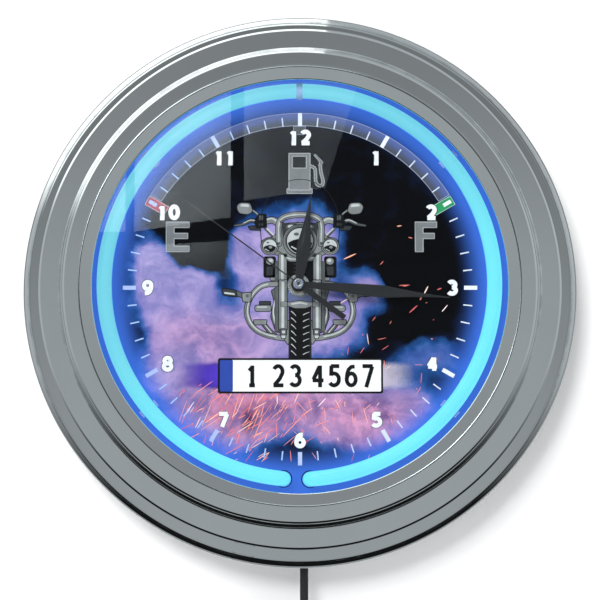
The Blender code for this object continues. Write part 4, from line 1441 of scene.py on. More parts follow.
class CLOCK_OT_glass(PieceOperator, bpy.types.Operator):
    """Lens, gasket and the ring between dial and lip"""

    bl_idname = "clock.glass"
    bl_label = "Glass"

    def make(self, colours, sizes):
        low, high = GLASS_LOW, GLASS_HIGH
        lens = turned("glass_lens", [(0, high, 0), (149, high, 0.4), (149, low, 0.4), (0, low, 0)], 160, 2)
        piece("glass_lens", lens, lens_finish(), stands_for=["lens"])
        gasket = [(143.6, 51.0, 0.4), (143.6, 52.25, 0.4), (148.8, 52.25, 0.4), (148.8, 50.95, 0.4)]
        mesh = turned("rubber_gasket", gasket, 160, 3)
        piece("rubber_gasket", mesh, rubber("gasket rubber"), stands_for=["lens_gasket"])
        spacer = [(144.2, 35.9, 0.4), (144.2, 50.5, 0.4), (147.4, 50.5, 0.4), (147.4, 35.9, 0.4)]
        mesh = turned("spacer_ring", spacer, 160, 3)
        white = plastic("white spacer plastic", (0.72, 0.76, 0.82), 0.4, 0.5, 0.02, 0.05)
        piece("spacer_ring", mesh, white, stands_for=["reflector_ring"])


class CLOCK_OT_tube(PieceOperator, bpy.types.Operator):
    """Lit ring tube with its clips and boots"""

    bl_idname = "clock.tube"
    bl_label = "Neon Tube"

    def make(self, colours, sizes):
        guide = linked("tube route", poly_curve("tube route", [self.route()], closed=False))
        mesh = tree("tube").made("lit_tube", Route=guide, Radius=TUBE_RADIUS, Sides=28)
        bpy.data.objects.remove(guide)
        piece(
            "lit_tube", tidied(mesh), neon_finish(colours), stands_for=["neon_tube"], angle=60
        )
        clear = clear_plastic()
        paint(clear, *(f"tube_clip_{i}" for i in range(1, 5)))
        reach, hold = TUBE_RADIUS + 0.9, TUBE_RADIUS + 0.1
        outer = [(reach, 0), *bow(0, 0, reach, reach, 0, 180), (-reach, 0)]
        inner = bow(0, 0, hold, hold, 180, 0)
        strap = slab("tube_strap", [[*outer, *inner]], -2.1, 2.1)
        turn = Matrix(((0, 0, 1, 0), (1, 0, 0, 0), (0, 1, 0, 0), (0, 0, 0, 1)))
        strap.transform(Matrix.Translation((TUBE_CENTRE[0], TUBE_CENTRE[1] + TUBE_RING, TUBE_DEPTH)) @ turn)
        piece("tube_strap", strap, clear)
        paint(rubber("boot rubber"), "electrode_boot_left", "electrode_boot_right", "mains_lead")
        paint(plastic("silicone lead", (0.72, 0.72, 0.7), 0.5), "hv_lead_left", "hv_lead_right")

    def on_ring(self, x):
        """Height of the tube's ring at this x, at the bottom of the dial."""
        return TUBE_CENTRE[1] - math.sqrt(TUBE_RING**2 - (x - TUBE_CENTRE[0]) ** 2)

    def route(self):
        """Centre line: a leg out of the dial, a tight bend, the ring and back."""

        def bend(leg, way):
            foot = middle("electrode_boot_left").z + 7.3
            points = [
                (leg, self.on_ring(leg), foot), (leg, self.on_ring(leg), 30), (leg, self.on_ring(leg), 37)
            ]
            for k in range(1, 9):
                t = math.radians(90 * k / 9)
                x = leg + way * TUBE_BEND * (1 - math.cos(t))
                points.append((x, self.on_ring(x), TUBE_DEPTH - TUBE_BEND * (1 - math.sin(t))))
            return points, leg + way * TUBE_BEND

        first, start_x = bend(LEGS[0], -1)
        last, end_x = bend(LEGS[1], 1)
        cx, cy = TUBE_CENTRE
        start = math.atan2(self.on_ring(start_x) - cy, start_x - cx)
        end = math.atan2(self.on_ring(end_x) - cy, end_x - cx) - 2 * math.pi
        steps = 240
        turns = (start + (end - start) * i / steps for i in range(steps + 1))
        ring = [(cx + TUBE_RING * math.cos(t), cy + TUBE_RING * math.sin(t), TUBE_DEPTH) for t in turns]
        return first + ring + last[::-1]


# ---------------------------------------------------------------- dial


class CLOCK_OT_dial(PieceOperator, bpy.types.Operator):
    """Printed dial: smoke, gauge, marks, figures and the fuel pump sign"""

    bl_idname = "clock.dial"
    bl_label = "Dial Print"

    def make(self, colours, sizes):
        paint(smoke_print(), "dial_plate")
        white = ink("white dial ink", tuple(colours.figures))
        shade = ink("figure shade ink", srgb(22, 26, 40))
        inner, outer = sizes.mark_inner / MM, sizes.mark_outer / MM
        self.gauge(colours, inner, outer)
        self.marks(tuple(colours.figures), inner, outer)
        self.figures(white, shade, sizes.figure_radius / MM, sizes.figure_height / MM)
        self.signs()

    def marks(self, figures, inner, outer):
        """Hour marks but at the gauge's ends, and the minute marks between them."""
        # painted light: the white marks are tinted blue towards the lower left of the dial
        white = self.fading("hour mark ink", srgb(170, 188, 232), figures)
        top = INK * 7
        hour = box_mesh("hour mark", (2.8, outer - inner, top), 0.0)
        for name, count, start in (("hour_marks_top", 3, -30), ("hour_marks_bottom", 7, 90)):
            mesh = ring_of(name, hour.copy(), count, (inner + outer) / 2, DIAL + top / 2 - 0.01, start, 30)
            piece(name, mesh, white, angle=20)
        short = box_mesh("short mark", (2.6, 6.0, top), 0.0)
        mesh = ring_of("gauge_end_marks", short, 2, outer - 4.6, DIAL + top / 2 - 0.01, -60, 120)
        piece("gauge_end_marks", mesh, white, angle=20)
        pale = self.fading("minute mark ink", srgb(168, 194, 238), srgb(212, 218, 228))
        reach = 6.2
        minute = box_mesh("minute mark", (0.9, reach, INK * 5), 0.0)
        mesh = ring_of("minute_marks", minute, 60, inner + reach / 2, DIAL + INK * 2.5 - 0.01, 6, 6, 5)
        piece("minute_marks", mesh, pale, angle=20)

    def fading(self, name, low, high):
        """White ink with painted light on it: blue at the lower left of the dial, paling to its upper
        right.
        """
        made = Finish(name)
        share = (made.x + 0.35 * made.y).eased(-70, 90)
        made.set(colour=made.mix(share, low, high), roughness=0.5, specular=0.2)
        return made.material

    def arc(self, radius, start, end, steps=60):
        """Points round the dial between two clock angles, in degrees from twelve."""
        turns = (math.radians(start + (end - start) * i / steps) for i in range(steps + 1))
        return [(radius * math.sin(t), radius * math.cos(t)) for t in turns]

    def gauge(self, colours, inner, outer):
        """The fuel gauge: a grey band from ten to two, its tab, and the red and green ends."""
        band_ink = Finish("gauge grey ink")
        # painted tube light: the grey band turns bluer towards its outer edge, nearest the tube
        share = band_ink.radius().eased(inner, outer) * 0.75
        band_ink.set(
            colour=band_ink.mix(share, srgb(76, 80, 84), srgb(92, 112, 176)), roughness=0.55, specular=0.1
        )
        grey = band_ink.material
        line = ink("gauge edge ink", srgb(148, 156, 178))
        art = Print("fuel_gauge")
        band = self.arc(outer, -58, 58) + self.arc(inner, 58, -58)
        art.inlaid(band, 1, grey, line, 0.45)
        art.inlaid(block(-4.6, inner - 6.2, 3.9, inner, 0.3), 3, grey, line, 0.5)
        for name, side, colour in (("empty", -1, colours.warning), ("full", 1, colours.good)):
            fill = ink(name + " mark ink", tuple(colour), 0.1)
            rim = ink(name + " mark edge ink", tuple(0.45 + 0.5 * c for c in colour))
            turn = Matrix.Rotation(math.radians(-60 * side), 2)
            shape = [tuple(turn @ Vector(p)) for p in block(-3.5, 105.6, 3.5, outer, 0.3)]
            art.inlaid(shape, 3, fill, rim, 0.45)
        art.done()

    def figures(self, white, shade, radius, height):
        art = Print("hour_figures")
        for hour in range(1, 13):
            t = math.radians(30 * hour)
            x, y = radius * math.sin(t), radius * math.cos(t)
            wide, bar = height * 0.75, height * 0.27
            art.take(lettering(str(hour), height, x, y, 6, wide, bar, 0.4), shade)
            art.take(lettering(str(hour), height, x, y, 9, wide, bar), white)
        art.done()

    def signs(self):
        """E and F at the ends of the gauge, and the pump sign under twelve."""
        grey = ink("sign grey ink", srgb(118, 121, 123), 0.08)
        line = ink("sign edge ink", srgb(168, 172, 174))
        dark = ink("sign window ink", srgb(24, 28, 31))
        art = Print("gauge_signs")
        self.letter(art, grey, line, -91.8, ((16.2, 4.4, 1), (15.2, 4.2, 0), (16.2, 4.4, -1)))
        self.letter(art, grey, line, 78.6, ((15.2, 4.4, 1), (13.6, 4.2, 0)))
        art.inlaid(block(-9.2, 64.8, 8.6, 68.6, 0.5), 2, grey, line, 0.5)
        art.inlaid(
            loop_of((-7.9, 67.2), (7.2, 67.2), (7.2, 93.2), (-7.9, 93.2), rounding=0.5), 4, grey, line, 0.6
        )
        art.inlaid(block(-5.6, 82.4, 4.6, 91.2, 0.5), 6, dark, line, 0.55)
        hose = ((7.4, 84.0), (10.0, 82.6), (10.6, 79.0), (10.8, 73.6), (12.4, 70.8))
        hose += ((15.2, 71.0), (15.8, 74.0), (14.4, 79.5), (13.8, 85.0))
        art.inlaid(stroke(hose, 2.3), 4, grey, line, 0.5)
        nozzle = loop_of((9.3, 91.6), (10.4, 92.6), (16.2, 86.6), (13.9, 83.6), (12.9, 87.4), rounding=0.3)
        art.inlaid(nozzle, 6, grey, line, 0.4)
        art.done()

    def letter(self, art, grey, line, left, arms):
        """A capital of one stem and arms; each arm is its length, thickness and place."""
        low, high, stem = 24.6, 45.6, 5.9
        outline = [(left, high)]
        mid = (low + high) / 2
        for length, thick, where in arms:
            top = {1: high, 0: mid + 0.6 + thick / 2, -1: low + thick}[where]
            outline += [(left + length, top), (left + length, top - thick)]
            if where >= 0:
                outline.append((left + stem, top - thick))
                following = {1: mid + 0.6 + 2.1, 0: low + 4.4}[where]
                if where == 1 or len(arms) == 3:
                    outline.append((left + stem, following))
        if len(arms) == 3:
            outline.append((left, low))
        else:
            outline += [(left + stem, low), (left, low)]
        rounded = softened([(x, y, 0.35) for x, y in outline], 3)
        art.inlaid([tuple(p) for p in rounded], 2, grey, line, 0.6)


class CLOCK_OT_sparks(PieceOperator, bpy.types.Operator):
    """Sparks strewn over the smoke, their ink with a faint painted glow"""

    bl_idname = "clock.sparks"
    bl_label = "Sparks"

    # middle, spread, how many, longest, width, lean and fan in degrees
    SHOWERS = (
        ("sparks_left", (-36, -88), (52, 32), 130, 22.0, 0.55, 40, 26),
        ("sparks_middle", (8, -88), (70, 32), 70, 15.0, 0.5, 14, 60),
        ("sparks_right", (46, -62), (60, 66), 44, 9.0, 0.45, 42, 50),
        ("sparks_far", (72, -6), (44, 54), 16, 11.0, 0.9, 58, 50),
    )

    def make(self, colours, sizes):
        fire = Finish("spark ink")
        tone = fire.node("ShaderNodeAttribute", {"attribute_name": "tone"}, None, "Fac")
        stops = (
            (0.0, srgb(206, 92, 96)),
            (0.35, srgb(232, 122, 118)),
            (0.65, srgb(246, 158, 128)),
            (0.9, srgb(255, 200, 166)),
            (1.0, srgb(255, 240, 236)),
        )
        heat = fire.node("ShaderNodeValToRGB", {"stops": stops}, {0: tone})
        # painted glow: the sparks' ink also glows faintly, though the print is no lamp
        fire.set(colour=heat, roughness=0.5, glow=heat, glow_strength=0.12)
        for i, (name, centre, spread, count, length, width, lean, fan) in enumerate(self.SHOWERS):
            mesh = tree("spark").made(
                name,
                Count=count,
                Seed=sizes.spark_seed + 101 * i,
                Centre=(*centre, DIAL),
                Spread=(*spread, 0),
                Length=length / 2,
                Width=width / 2,
                Lean=-math.radians(lean),
                Fan=math.radians(fan),
            )
            piece(name, mesh, fire.material, angle=60)


class CLOCK_OT_motorcycle(PieceOperator, bpy.types.Operator):
    """Front view of a cruiser, printed on the dial in layers"""

    bl_idname = "clock.motorcycle"
    bl_label = "Motorcycle Print"

    def make(self, colours, sizes):
        self.art = Print("motorcycle_print")
        self.line = ink("outline ink", srgb(8, 9, 12))
        self.grey = ink("metal grey ink", srgb(128, 132, 132), 0.12)
        self.mid = ink("shade grey ink", srgb(86, 90, 91), 0.12)
        self.dark = ink("dark grey ink", srgb(52, 55, 58), 0.12)
        self.light = ink("highlight ink", srgb(190, 194, 193), 0.08)
        self.black = ink("black print ink", srgb(11, 12, 14))
        self.blue = ink("fender blue ink", srgb(92, 102, 140))
        self.chassis()
        self.loops()
        self.forks()
        self.bars()
        self.cowl()
        self.lamps()
        self.wheel()
        self.art.done()
        self.tread()

    def both(self, loop, level, finish, line=0.55):
        self.art.outlined(loop, level, finish, self.line, line, both=True)

    def plain(self, loop, level, finish):
        for shape in (loop, mirrored(loop)):
            self.art.lay(shape, level, finish)

    def chassis(self):
        """Engine sides, radiator and pegs behind the forks."""
        self.both(
            loop_of((12.6, 2), (19.4, -2.0), (17.6, -9), (19.8, -20), (16.4, -30), (12.0, -31)), 1, self.mid
        )
        self.plain(stroke(((17.2, -9), (18.2, -17), (16.4, -27)), 1.0), 3, self.light)
        self.plain(stroke(((15.2, -6), (15.6, -16), (14.8, -28)), 0.8), 3, self.dark)
        self.both(block(19.8, -16.0, 30.6, -12.2, 1.4), 2, self.grey)
        self.plain(block(22.4, -13.6, 29.2, -12.9, 0.3), 4, self.light)
        self.both(block(20.2, -11.6, 27.4, -9.6, 0.4), 1, self.dark)
        self.both(loop_of((22.6, -22.2), (31.6, -22.2), (31.0, -25.2), (23.2, -25.2)), 4, self.grey)
        self.both(stroke(((24.6, -25), (20.4, -30), (17.2, -32.4)), 2.6), 2, self.mid)
        self.plain(stroke(((23.8, -25.6), (19.6, -30.6)), 0.6), 4, self.light)
        self.art.lay(block(-10.4, -4, 10.4, 19.5), 2, self.black)
        for y in (16.4, 13.6, 10.8, 8.0):
            self.art.lay(block(-4.6, y - 0.4, 4.6, y + 0.4, 0.2), 3, self.dark)
        self.both(block(16.6, 5.0, 20.2, 11.4, 1.2), 3, self.grey)

    def loops(self):
        """Crash bars with the highway pegs on them."""
        bar = ((16.4, 2.6), (22.4, 2.2), (27.4, 0.4), (32.0, -4.0), (35.2, -9.8), (36.3, -16.4))
        bar += ((34.4, -23.6), (30.0, -28.8), (23.4, -32.2), (16.6, -33.8), (11.6, -34.6))
        self.both(stroke(bar, 3.1), 5, self.grey, 0.5)
        shine = [(x - 0.45 * (1 if x > 20 else 0.2), y + 0.35) for x, y in bar[1:-1]]
        self.plain(stroke(shine, 0.8), 7, self.light)
        under = [(x + 0.75, y - 0.75) for x, y in bar[4:-1]]
        self.plain(stroke(under, 0.6), 7, self.mid)
        self.both(
            loop_of((33.2, -3.2), (39.4, -3.8), (39.0, -9.4), (33.8, -9.8), rounding=1.0), 7, self.grey
        )
        self.plain(oval(36.0, -5.6, 1.1, 1.1, 20), 9, self.mid)
        self.both(stroke(((38.4, -5.6), (44.0, -3.6)), 2.6, 3.2), 6, self.mid)
        self.both(
            loop_of((43.0, -6.2), (52.4, -4.9), (53.2, -0.6), (44.0, -1.6), rounding=1.2), 8, self.dark
        )
        self.plain(
            loop_of((44.4, -5.0), (51.6, -4.1), (51.8, -2.9), (44.8, -3.8), rounding=0.5), 10, self.light
        )

    def forks(self):
        """Fork tubes, lower legs, axle clamps and the signal boxes beside them."""
        self.both(block(16.6, 7.0, 24.8, 21.4, 1.6), 3, self.black, 0.2)
        self.plain(block(18.4, 8.6, 23.0, 14.6, 0.8), 5, self.dark)
        self.both(oval(20.5, 18.2, 2.6, 2.3), 5, self.grey)
        self.plain(oval(20.0, 18.8, 1.4, 1.1), 7, self.light)
        self.both(block(14.6, -30.0, 17.0, 18.0, 0.6), 4, self.mid, 0.3)
        self.both(block(9.2, 4.6, 14.6, 23.0, 0.3), 6, self.grey)
        self.plain(block(11.2, 5.6, 13.0, 22.6, 0.3), 8, self.light)
        self.both(block(8.8, -28.6, 14.2, 5.2, 0.6), 8, self.grey)
        self.plain(block(10.9, -27.6, 12.6, 4.2, 0.3), 10, self.light)
        self.plain(block(9.2, -27.6, 9.9, 4.2, 0.2), 10, self.mid)
        self.both(block(8.6, -13.0, 13.0, -9.6, 0.9), 10, self.grey, 0.35)
        self.both(block(9.3, -32.2, 13.3, -28.4, 0.7), 10, self.mid)
        self.both(loop_of((10.1, -34.6), (12.5, -34.6), (12.9, -31.8), (9.7, -31.8)), 9, self.light)
        self.plain(block(10.2, -31.2, 12.2, -29.4, 0.3), 12, self.light)

    def bars(self):
        """Handlebar, levers, switch boxes, mirrors and the screen's outline."""
        screen = ((-26.4, 30.5), (-27.0, 44), (-25.0, 55), (-19.0, 66), (-9.6, 72.8), (0, 74.8))
        screen += tuple((-x, y) for x, y in reversed(screen[:-1]))
        self.art.lay(stroke(screen, 0.55), 10, self.line)
        self.both(stroke(((13.5, 43.6), (18.6, 46.6), (24.0, 45.6)), 4.4, 3.6), 1, self.grey)
        self.plain(stroke(((14.6, 44.6), (19.0, 47.6), (23.6, 46.8)), 0.9), 3, self.light)
        self.both(
            loop_of((22.8, 41.8), (29.8, 41.0), (31.2, 46.0), (28.6, 50.6), (23.2, 50.8)),
            4,
            self.black,
            0.3,
        )
        self.plain(block(25.4, 46.6, 28.0, 49.8, 0.4), 6, self.mid)
        self.plain(block(25.2, 42.8, 28.4, 44.4, 0.4), 6, self.dark)
        self.both(stroke(((28.6, 45.0), (33.4, 46.4), (38.6, 44.0), (44.6, 42.8)), 2.6, 0.9), 3, self.mid)
        self.plain(stroke(((30.4, 46.2), (34.0, 46.6), (38.6, 44.6)), 0.6), 5, self.light)
        self.both(loop_of((27.0, 39.6), (34.0, 40.0), (35.4, 42.2), (28.6, 42.6)), 2, self.dark)
        self.both(stroke(((27.6, 48.0), (29.4, 51.0), (33.8, 54.4)), 1.0), 2, self.grey, 0.3)
        mirror = loop_of(
            (32.6, 52.6), (34.2, 58.2), (41.2, 58.6), (43.4, 55.8), (41.6, 51.4), (35.4, 50.6), rounding=1.8
        )
        self.both(mirror, 4, self.grey)
        self.plain(
            loop_of((34.6, 55.6), (35.4, 57.6), (40.4, 57.8), (41.2, 56.2), rounding=0.8), 6, self.light
        )
        self.plain(stroke(((22.6, 40.6), (17.8, 36.0)), 0.9), 3, self.light)
        self.both(stroke(((24.0, 41.2), (17.0, 33.6)), 1.5), 1, self.mid, 0.3)

    def cowl(self):
        """Plate behind the lamps, the clocks above it and the guard rail."""
        right = ((0, 17.8), (7.4, 18.2), (11.6, 20.6), (17.0, 23.2), (25.4, 24.6), (26.0, 32.6))
        plate = loop_of(*right, (17.6, 35.4), (12.6, 44.0), (0, 45.0), rounding=1.6)
        full = [p for p in plate if p[0] > 0.01]
        outline = full + [(-x, y) for x, y in reversed(full)]
        self.art.lay(outline, 5, self.line, 0.45)
        self.art.lay(outline, 6, self.grey)
        self.art.lay(
            loop_of((-11.4, 32.0), (11.4, 32.0), (12.6, 44.4), (-12.6, 44.4), rounding=1.5), 7, self.dark
        )
        for x in (-6.2, 6.2):
            self.art.outlined(oval(x, 41.8, 3.6, 2.3), 8, self.mid, self.line, 0.3)
            self.art.lay(oval(x, 42.2, 2.2, 1.1), 10, self.light)
        self.art.outlined(block(-2.4, 40.6, 2.4, 44.6, 0.6), 8, self.grey, self.line, 0.3)
        self.plain(stroke(((8.6, 21.6), (15.6, 25.4)), 1.0), 7, self.mid)
        self.plain(stroke(((1.6, 19.6), (7.0, 20.0), (12.2, 22.8)), 0.8), 7, self.light)
        rail = ((14.5, 30.4), (14.5, 36.0), (14.6, 42.0), (13.2, 46.8), (8.6, 49.4), (0, 50.4))
        rail += tuple((-x, y) for x, y in reversed(rail[:-1]))
        self.art.outlined(stroke(rail, 3.7, None, 10), 11, self.grey, self.line, 0.45)
        self.art.lay(stroke(rail, 0.8, None, 10), 13, self.light)
        inner = [(x * 0.93, y - 0.9) for x, y in rail[1:-1]]
        self.art.lay(stroke(inner, 0.5, None, 10), 13, self.mid)
        for x in (-14.5, 14.5):
            for y in (30.6, 45.4):
                self.art.outlined(
                    oval(x * (1 if y < 40 else 0.9), y, 0.8, 0.8, 16), 13, self.mid, self.line, 0.2
                )

    def lamps(self):
        """Headlamp and the two auxiliary lamps: ring, bright reflector and its dark lower part."""
        for x, y, size, level in ((0, 32.1, 11.4, 12), (-20.7, 28.6, 5.9, 10), (20.7, 28.6, 5.9, 10)):
            self.art.outlined(oval(x, y, size), level, self.grey, self.line, 0.45)
            self.art.lay(oval(x, y + size * 0.06, size * 0.93), level + 2, self.mid)
            self.art.lay(oval(x, y, size * 0.84), level + 3, self.line)
            self.art.lay(oval(x, y, size * 0.78), level + 4, self.light)
            low = bow(x, y, size * 0.74, size * 0.74, -172, -8)
            rise = ((0.4, 0.06), (0, 0.16), (-0.4, 0.06))
            lens = low + [(x + size * across, y + size * up) for across, up in rise]
            self.art.lay(lens, level + 5, self.black)
            glint = ((x - size * 0.5, y - size * 0.34), (x - size * 0.1, y - size * 0.56))
            self.art.lay(stroke(glint, size * 0.09), level + 6, self.light)
            self.art.lay(
                oval(x + size * 0.08, y - size * 0.12, size * 0.2, size * 0.16, 20), level + 6, self.grey
            )
            self.art.lay(
                oval(x - size * 0.22, y + size * 0.42, size * 0.16, size * 0.1, 16), level + 5, self.mid
            )

    def wheel(self):
        """Fender, its trim, the tyre and the wheel's flanks."""
        self.both(
            loop_of((7.6, -22.4), (9.8, -24.8), (10.4, -35.6), (8.2, -38.8), (7.2, -36.0)), 6, self.grey
        )
        self.art.lay(block(-7.8, -50.4, 7.8, -12.0, 0.5), 12, self.line)
        self.art.lay(block(-7.2, -50.4, 7.2, -13.0, 0.4), 13, self.black)
        for x in (-7.0, 7.0):
            self.art.lay(block(x - 0.18, -48.6, x + 0.18, -15.4, 0.1), 14, self.dark)
        edge = ((-8.0, -11.0), (-8.6, -3.6), (-6.0, 4.4), (0, 6.4), (6.0, 4.4), (8.6, -3.6), (8.0, -11.0))
        fender = loop_of(*edge, rounding=1.6)
        self.art.outlined(fender, 13, self.blue, self.line, 0.45)
        self.art.lay(stroke(((-6.8, -3.0), (-4.8, 2.6), (0, 4.8)), 0.8), 15, self.light)
        self.art.lay(oval(0, -1.6, 6.4, 5.0), 15, self.grey)
        self.art.lay(oval(0, -1.0, 5.2, 4.2), 16, self.dark)
        edge = (
            (-8.6, -10.2), (0, -8.8), (8.6, -10.2), (8.4, -12.2), (3.6, -14.0), (-3.6, -14.0), (-8.4, -12.2)
        )
        trim = loop_of(*edge, rounding=0.9)
        self.art.outlined(trim, 15, self.grey, self.line, 0.4)
        self.art.lay(stroke(((-5.6, -11.2), (0, -10.4), (4.6, -11.2)), 1.0), 17, self.light)

    def tread(self):
        mark = slab("tread mark", [stroke(((-2.1, 0.25), (0, 0), (2.1, -0.55)), 0.62, 0.3)], 0, INK * 2)
        guide = linked("tread mark", mark)
        mesh = tree("row").made(
            "tyre_tread",
            Shape=guide,
            Count=14,
            Pitch=4.5,
            Top=-17.6,
            Aside=4.2,
            Lean=math.radians(34),
            Depth=DIAL + INK * 13,
        )
        bpy.data.objects.remove(guide)
        piece("tyre_tread", mesh, self.light, angle=20)


class CLOCK_OT_number_plate(PieceOperator, bpy.types.Operator):
    """Number plate print with plain figures"""

    bl_idname = "clock.number_plate"
    bl_label = "Number Plate"

    ROW = (("1", -33.0), ("2", -14.6), ("3", -3.0), ("4", 12.2), ("5", 23.6), ("6", 34.8), ("7", 46.0))

    def make(self, colours, sizes):
        art = Print("number_plate")
        frame_ink = ink("plate frame ink", srgb(12, 12, 14))
        ground = ink("plate ground ink", tuple(colours.plate), 0.03)
        band = ink("plate band ink", srgb(44, 70, 158), 0.05)
        left, right, low, high = -55.8, 56.4, -72.2, -48.2
        art.lay(block(left, low, right, high, 1.6), 17, frame_ink)
        art.lay(block(left + 1.3, low + 1.3, right - 1.3, high - 1.3, 0.9), 18, ground)
        art.lay(block(left + 1.3, low + 1.3, left + 10.2, high - 1.3, 0.9), 19, band)
        for figure, x in self.ROW:
            art.take(lettering(figure, 15.8, x, (low + high) / 2, 20, 9.2, 2.7), frame_ink)
        art.done()
        self.glares()

    def glares(self):
        """Soft glares that run out of the plate on both sides."""
        for name, inner, outer, colour, most in (
            ("plate_glare_left", -55.6, -84.0, srgb(84, 58, 190), 0.92),
            ("plate_glare_right", 56.2, 78.0, srgb(226, 214, 232), 0.62),
        ):
            made = Finish(name.replace("_", " "))
            share = (made.x - outer) / (inner - outer)
            soft = share.clipped() ** 1.3 * made.band(made.y, -60.2, 11.4).eased(0.0, 0.5)
            made.set(colour=flecked(made, colour, 0.1, 9), alpha=soft * most, roughness=0.6, specular=0.2)
            edge = block(min(inner, outer), -71.0, max(inner, outer), -49.4)
            mesh = slab(name, [edge], DIAL + 0.002, DIAL + INK * 0.8)
            piece(name, mesh, made.material, angle=20)


# ---------------------------------------------------------------- hands


class CLOCK_OT_hands(PieceOperator, bpy.types.Operator):
    """Hour, minute and second hands with their cap and nut"""

    bl_idname = "clock.hands"
    bl_label = "Hands"

    # name, node, body, clock angle, length, neck, widest, where, eye, bore
    LEAVES = (
        ("leaf_hour_hand", "hour_hand", "hours", 7.9, 63, 2.4, 4.8, 0.44, 5.0, 2.8),
        ("leaf_minute_hand", "minute_hand", "minutes", 95.1, 103, 1.9, 4.2, 0.57, 4.0, 1.8),
    )
    SECOND_ANGLE = 306.5

    def make(self, colours, sizes):
        paint_black = lacquer("satin black hands", tuple(colours.hands))
        for name, node, body, angle, length, neck, widest, at, eye, bore in self.LEAVES:
            outline = self.leaf(length, neck, widest, at, eye)
            self.hand(name, node, body, angle, [outline, oval(0, 0, bore, None, 32)], paint_black)
        slim, bar, eye = 0.45, 1.9, 3.0
        edge = self.eye(eye, slim, bar) + [(slim, 95), (-slim, 95)]
        loops = [edge, oval(0, 0, 0.85, None, 24)]
        self.hand("sweep_second_hand", "second_hand", "seconds", self.SECOND_ANGLE, loops, paint_black)
        plated = chrome("hub chrome", (0.86, 0.88, 0.9))
        back, front = -CAP_HIGH.y / MM, -CAP_LOW.y / MM
        corners = [(0, front - 1.0, 0), (1.5, front - 1.0, 0.3), (2.0, front - 0.1, 0.5), (2.9, front, 0.5)]
        corners += [(3.8, back + 1.2, 0.8), (3.8, back, 0.2), (0, back, 0)]
        piece(
            "hub_cap",
            turned("hub_cap", corners, 64, 5, at=HUB),
            plated,
            "seconds",
            ["hand_cap"],
        )
        paint(steel("turned brass nut", (0.74, 0.56, 0.26), 0.22, (4, 4, 4)), "centre_nut")
        paint(steel("bright washer", (0.72, 0.73, 0.74), 0.2, (5, 5, 5)), "washer")

    def eye(self, eye, slim, bar):
        """Outline of the second hand from the root of its needle round the eye and the counterweight."""
        a, b = math.asin(slim / eye), math.asin(bar / eye)
        half = math.pi / 2

        def bow(start, end):
            turns = (start + (end - start) * i / 10 for i in range(11))
            return [(eye * math.cos(t), eye * math.sin(t)) for t in turns]

        return bow(half + a, 3 * half - b) + [(-bar, -39), (bar, -39)] + bow(3 * half + b, 5 * half - a)

    def leaf(self, length, neck, widest, widest_at, eye):
        """A leaf that swells from its neck and runs out to a needle tip."""
        tail, steps = 0.35, 30
        side = []
        for k in range(steps + 1):
            t = 0.08 + 0.92 * k / steps
            if t <= widest_at:
                share = t / widest_at
                half = neck + (widest - neck) * (3 * share**2 - 2 * share**3) ** 0.8
            else:
                share = (t - widest_at) / (1 - widest_at)
                half = tail + (widest - tail) * (1 - share) ** 1.5
            side.append((half, t * length))
        start = math.asin(side[0][0] / eye)
        turns = (math.pi / 2 + start + (2 * math.pi - 2 * start) * i / 28 for i in range(29))
        round_eye = [(eye * math.cos(t), eye * math.sin(t)) for t in turns]
        return round_eye + side + [(-x, y) for x, y in reversed(side)]

    def hand(self, name, node, body, angle, loops, finish):
        """A stamped hand: its edges are broken a little, as by the press."""
        low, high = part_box(node)
        back, front = -high.y / MM, -low.y / MM
        curve = poly_curve(name, loops, flat=True)
        curve.fill_mode = "BOTH"
        curve.bevel_depth = 0.1
        curve.bevel_resolution = 2
        curve.extrude = (front - back) / 2 - 0.1
        curve.offset = -0.1
        mesh = tidied(plain_mesh(linked(name, curve), name), 0.002)
        turn = Matrix.Rotation(-math.radians(angle), 4, "Z")
        mesh.transform(Matrix.Translation((*HUB, (back + front) / 2)) @ turn)
        piece(name, mesh, finish, body, [node], angle=40)


# ---------------------------------------------------------------- back


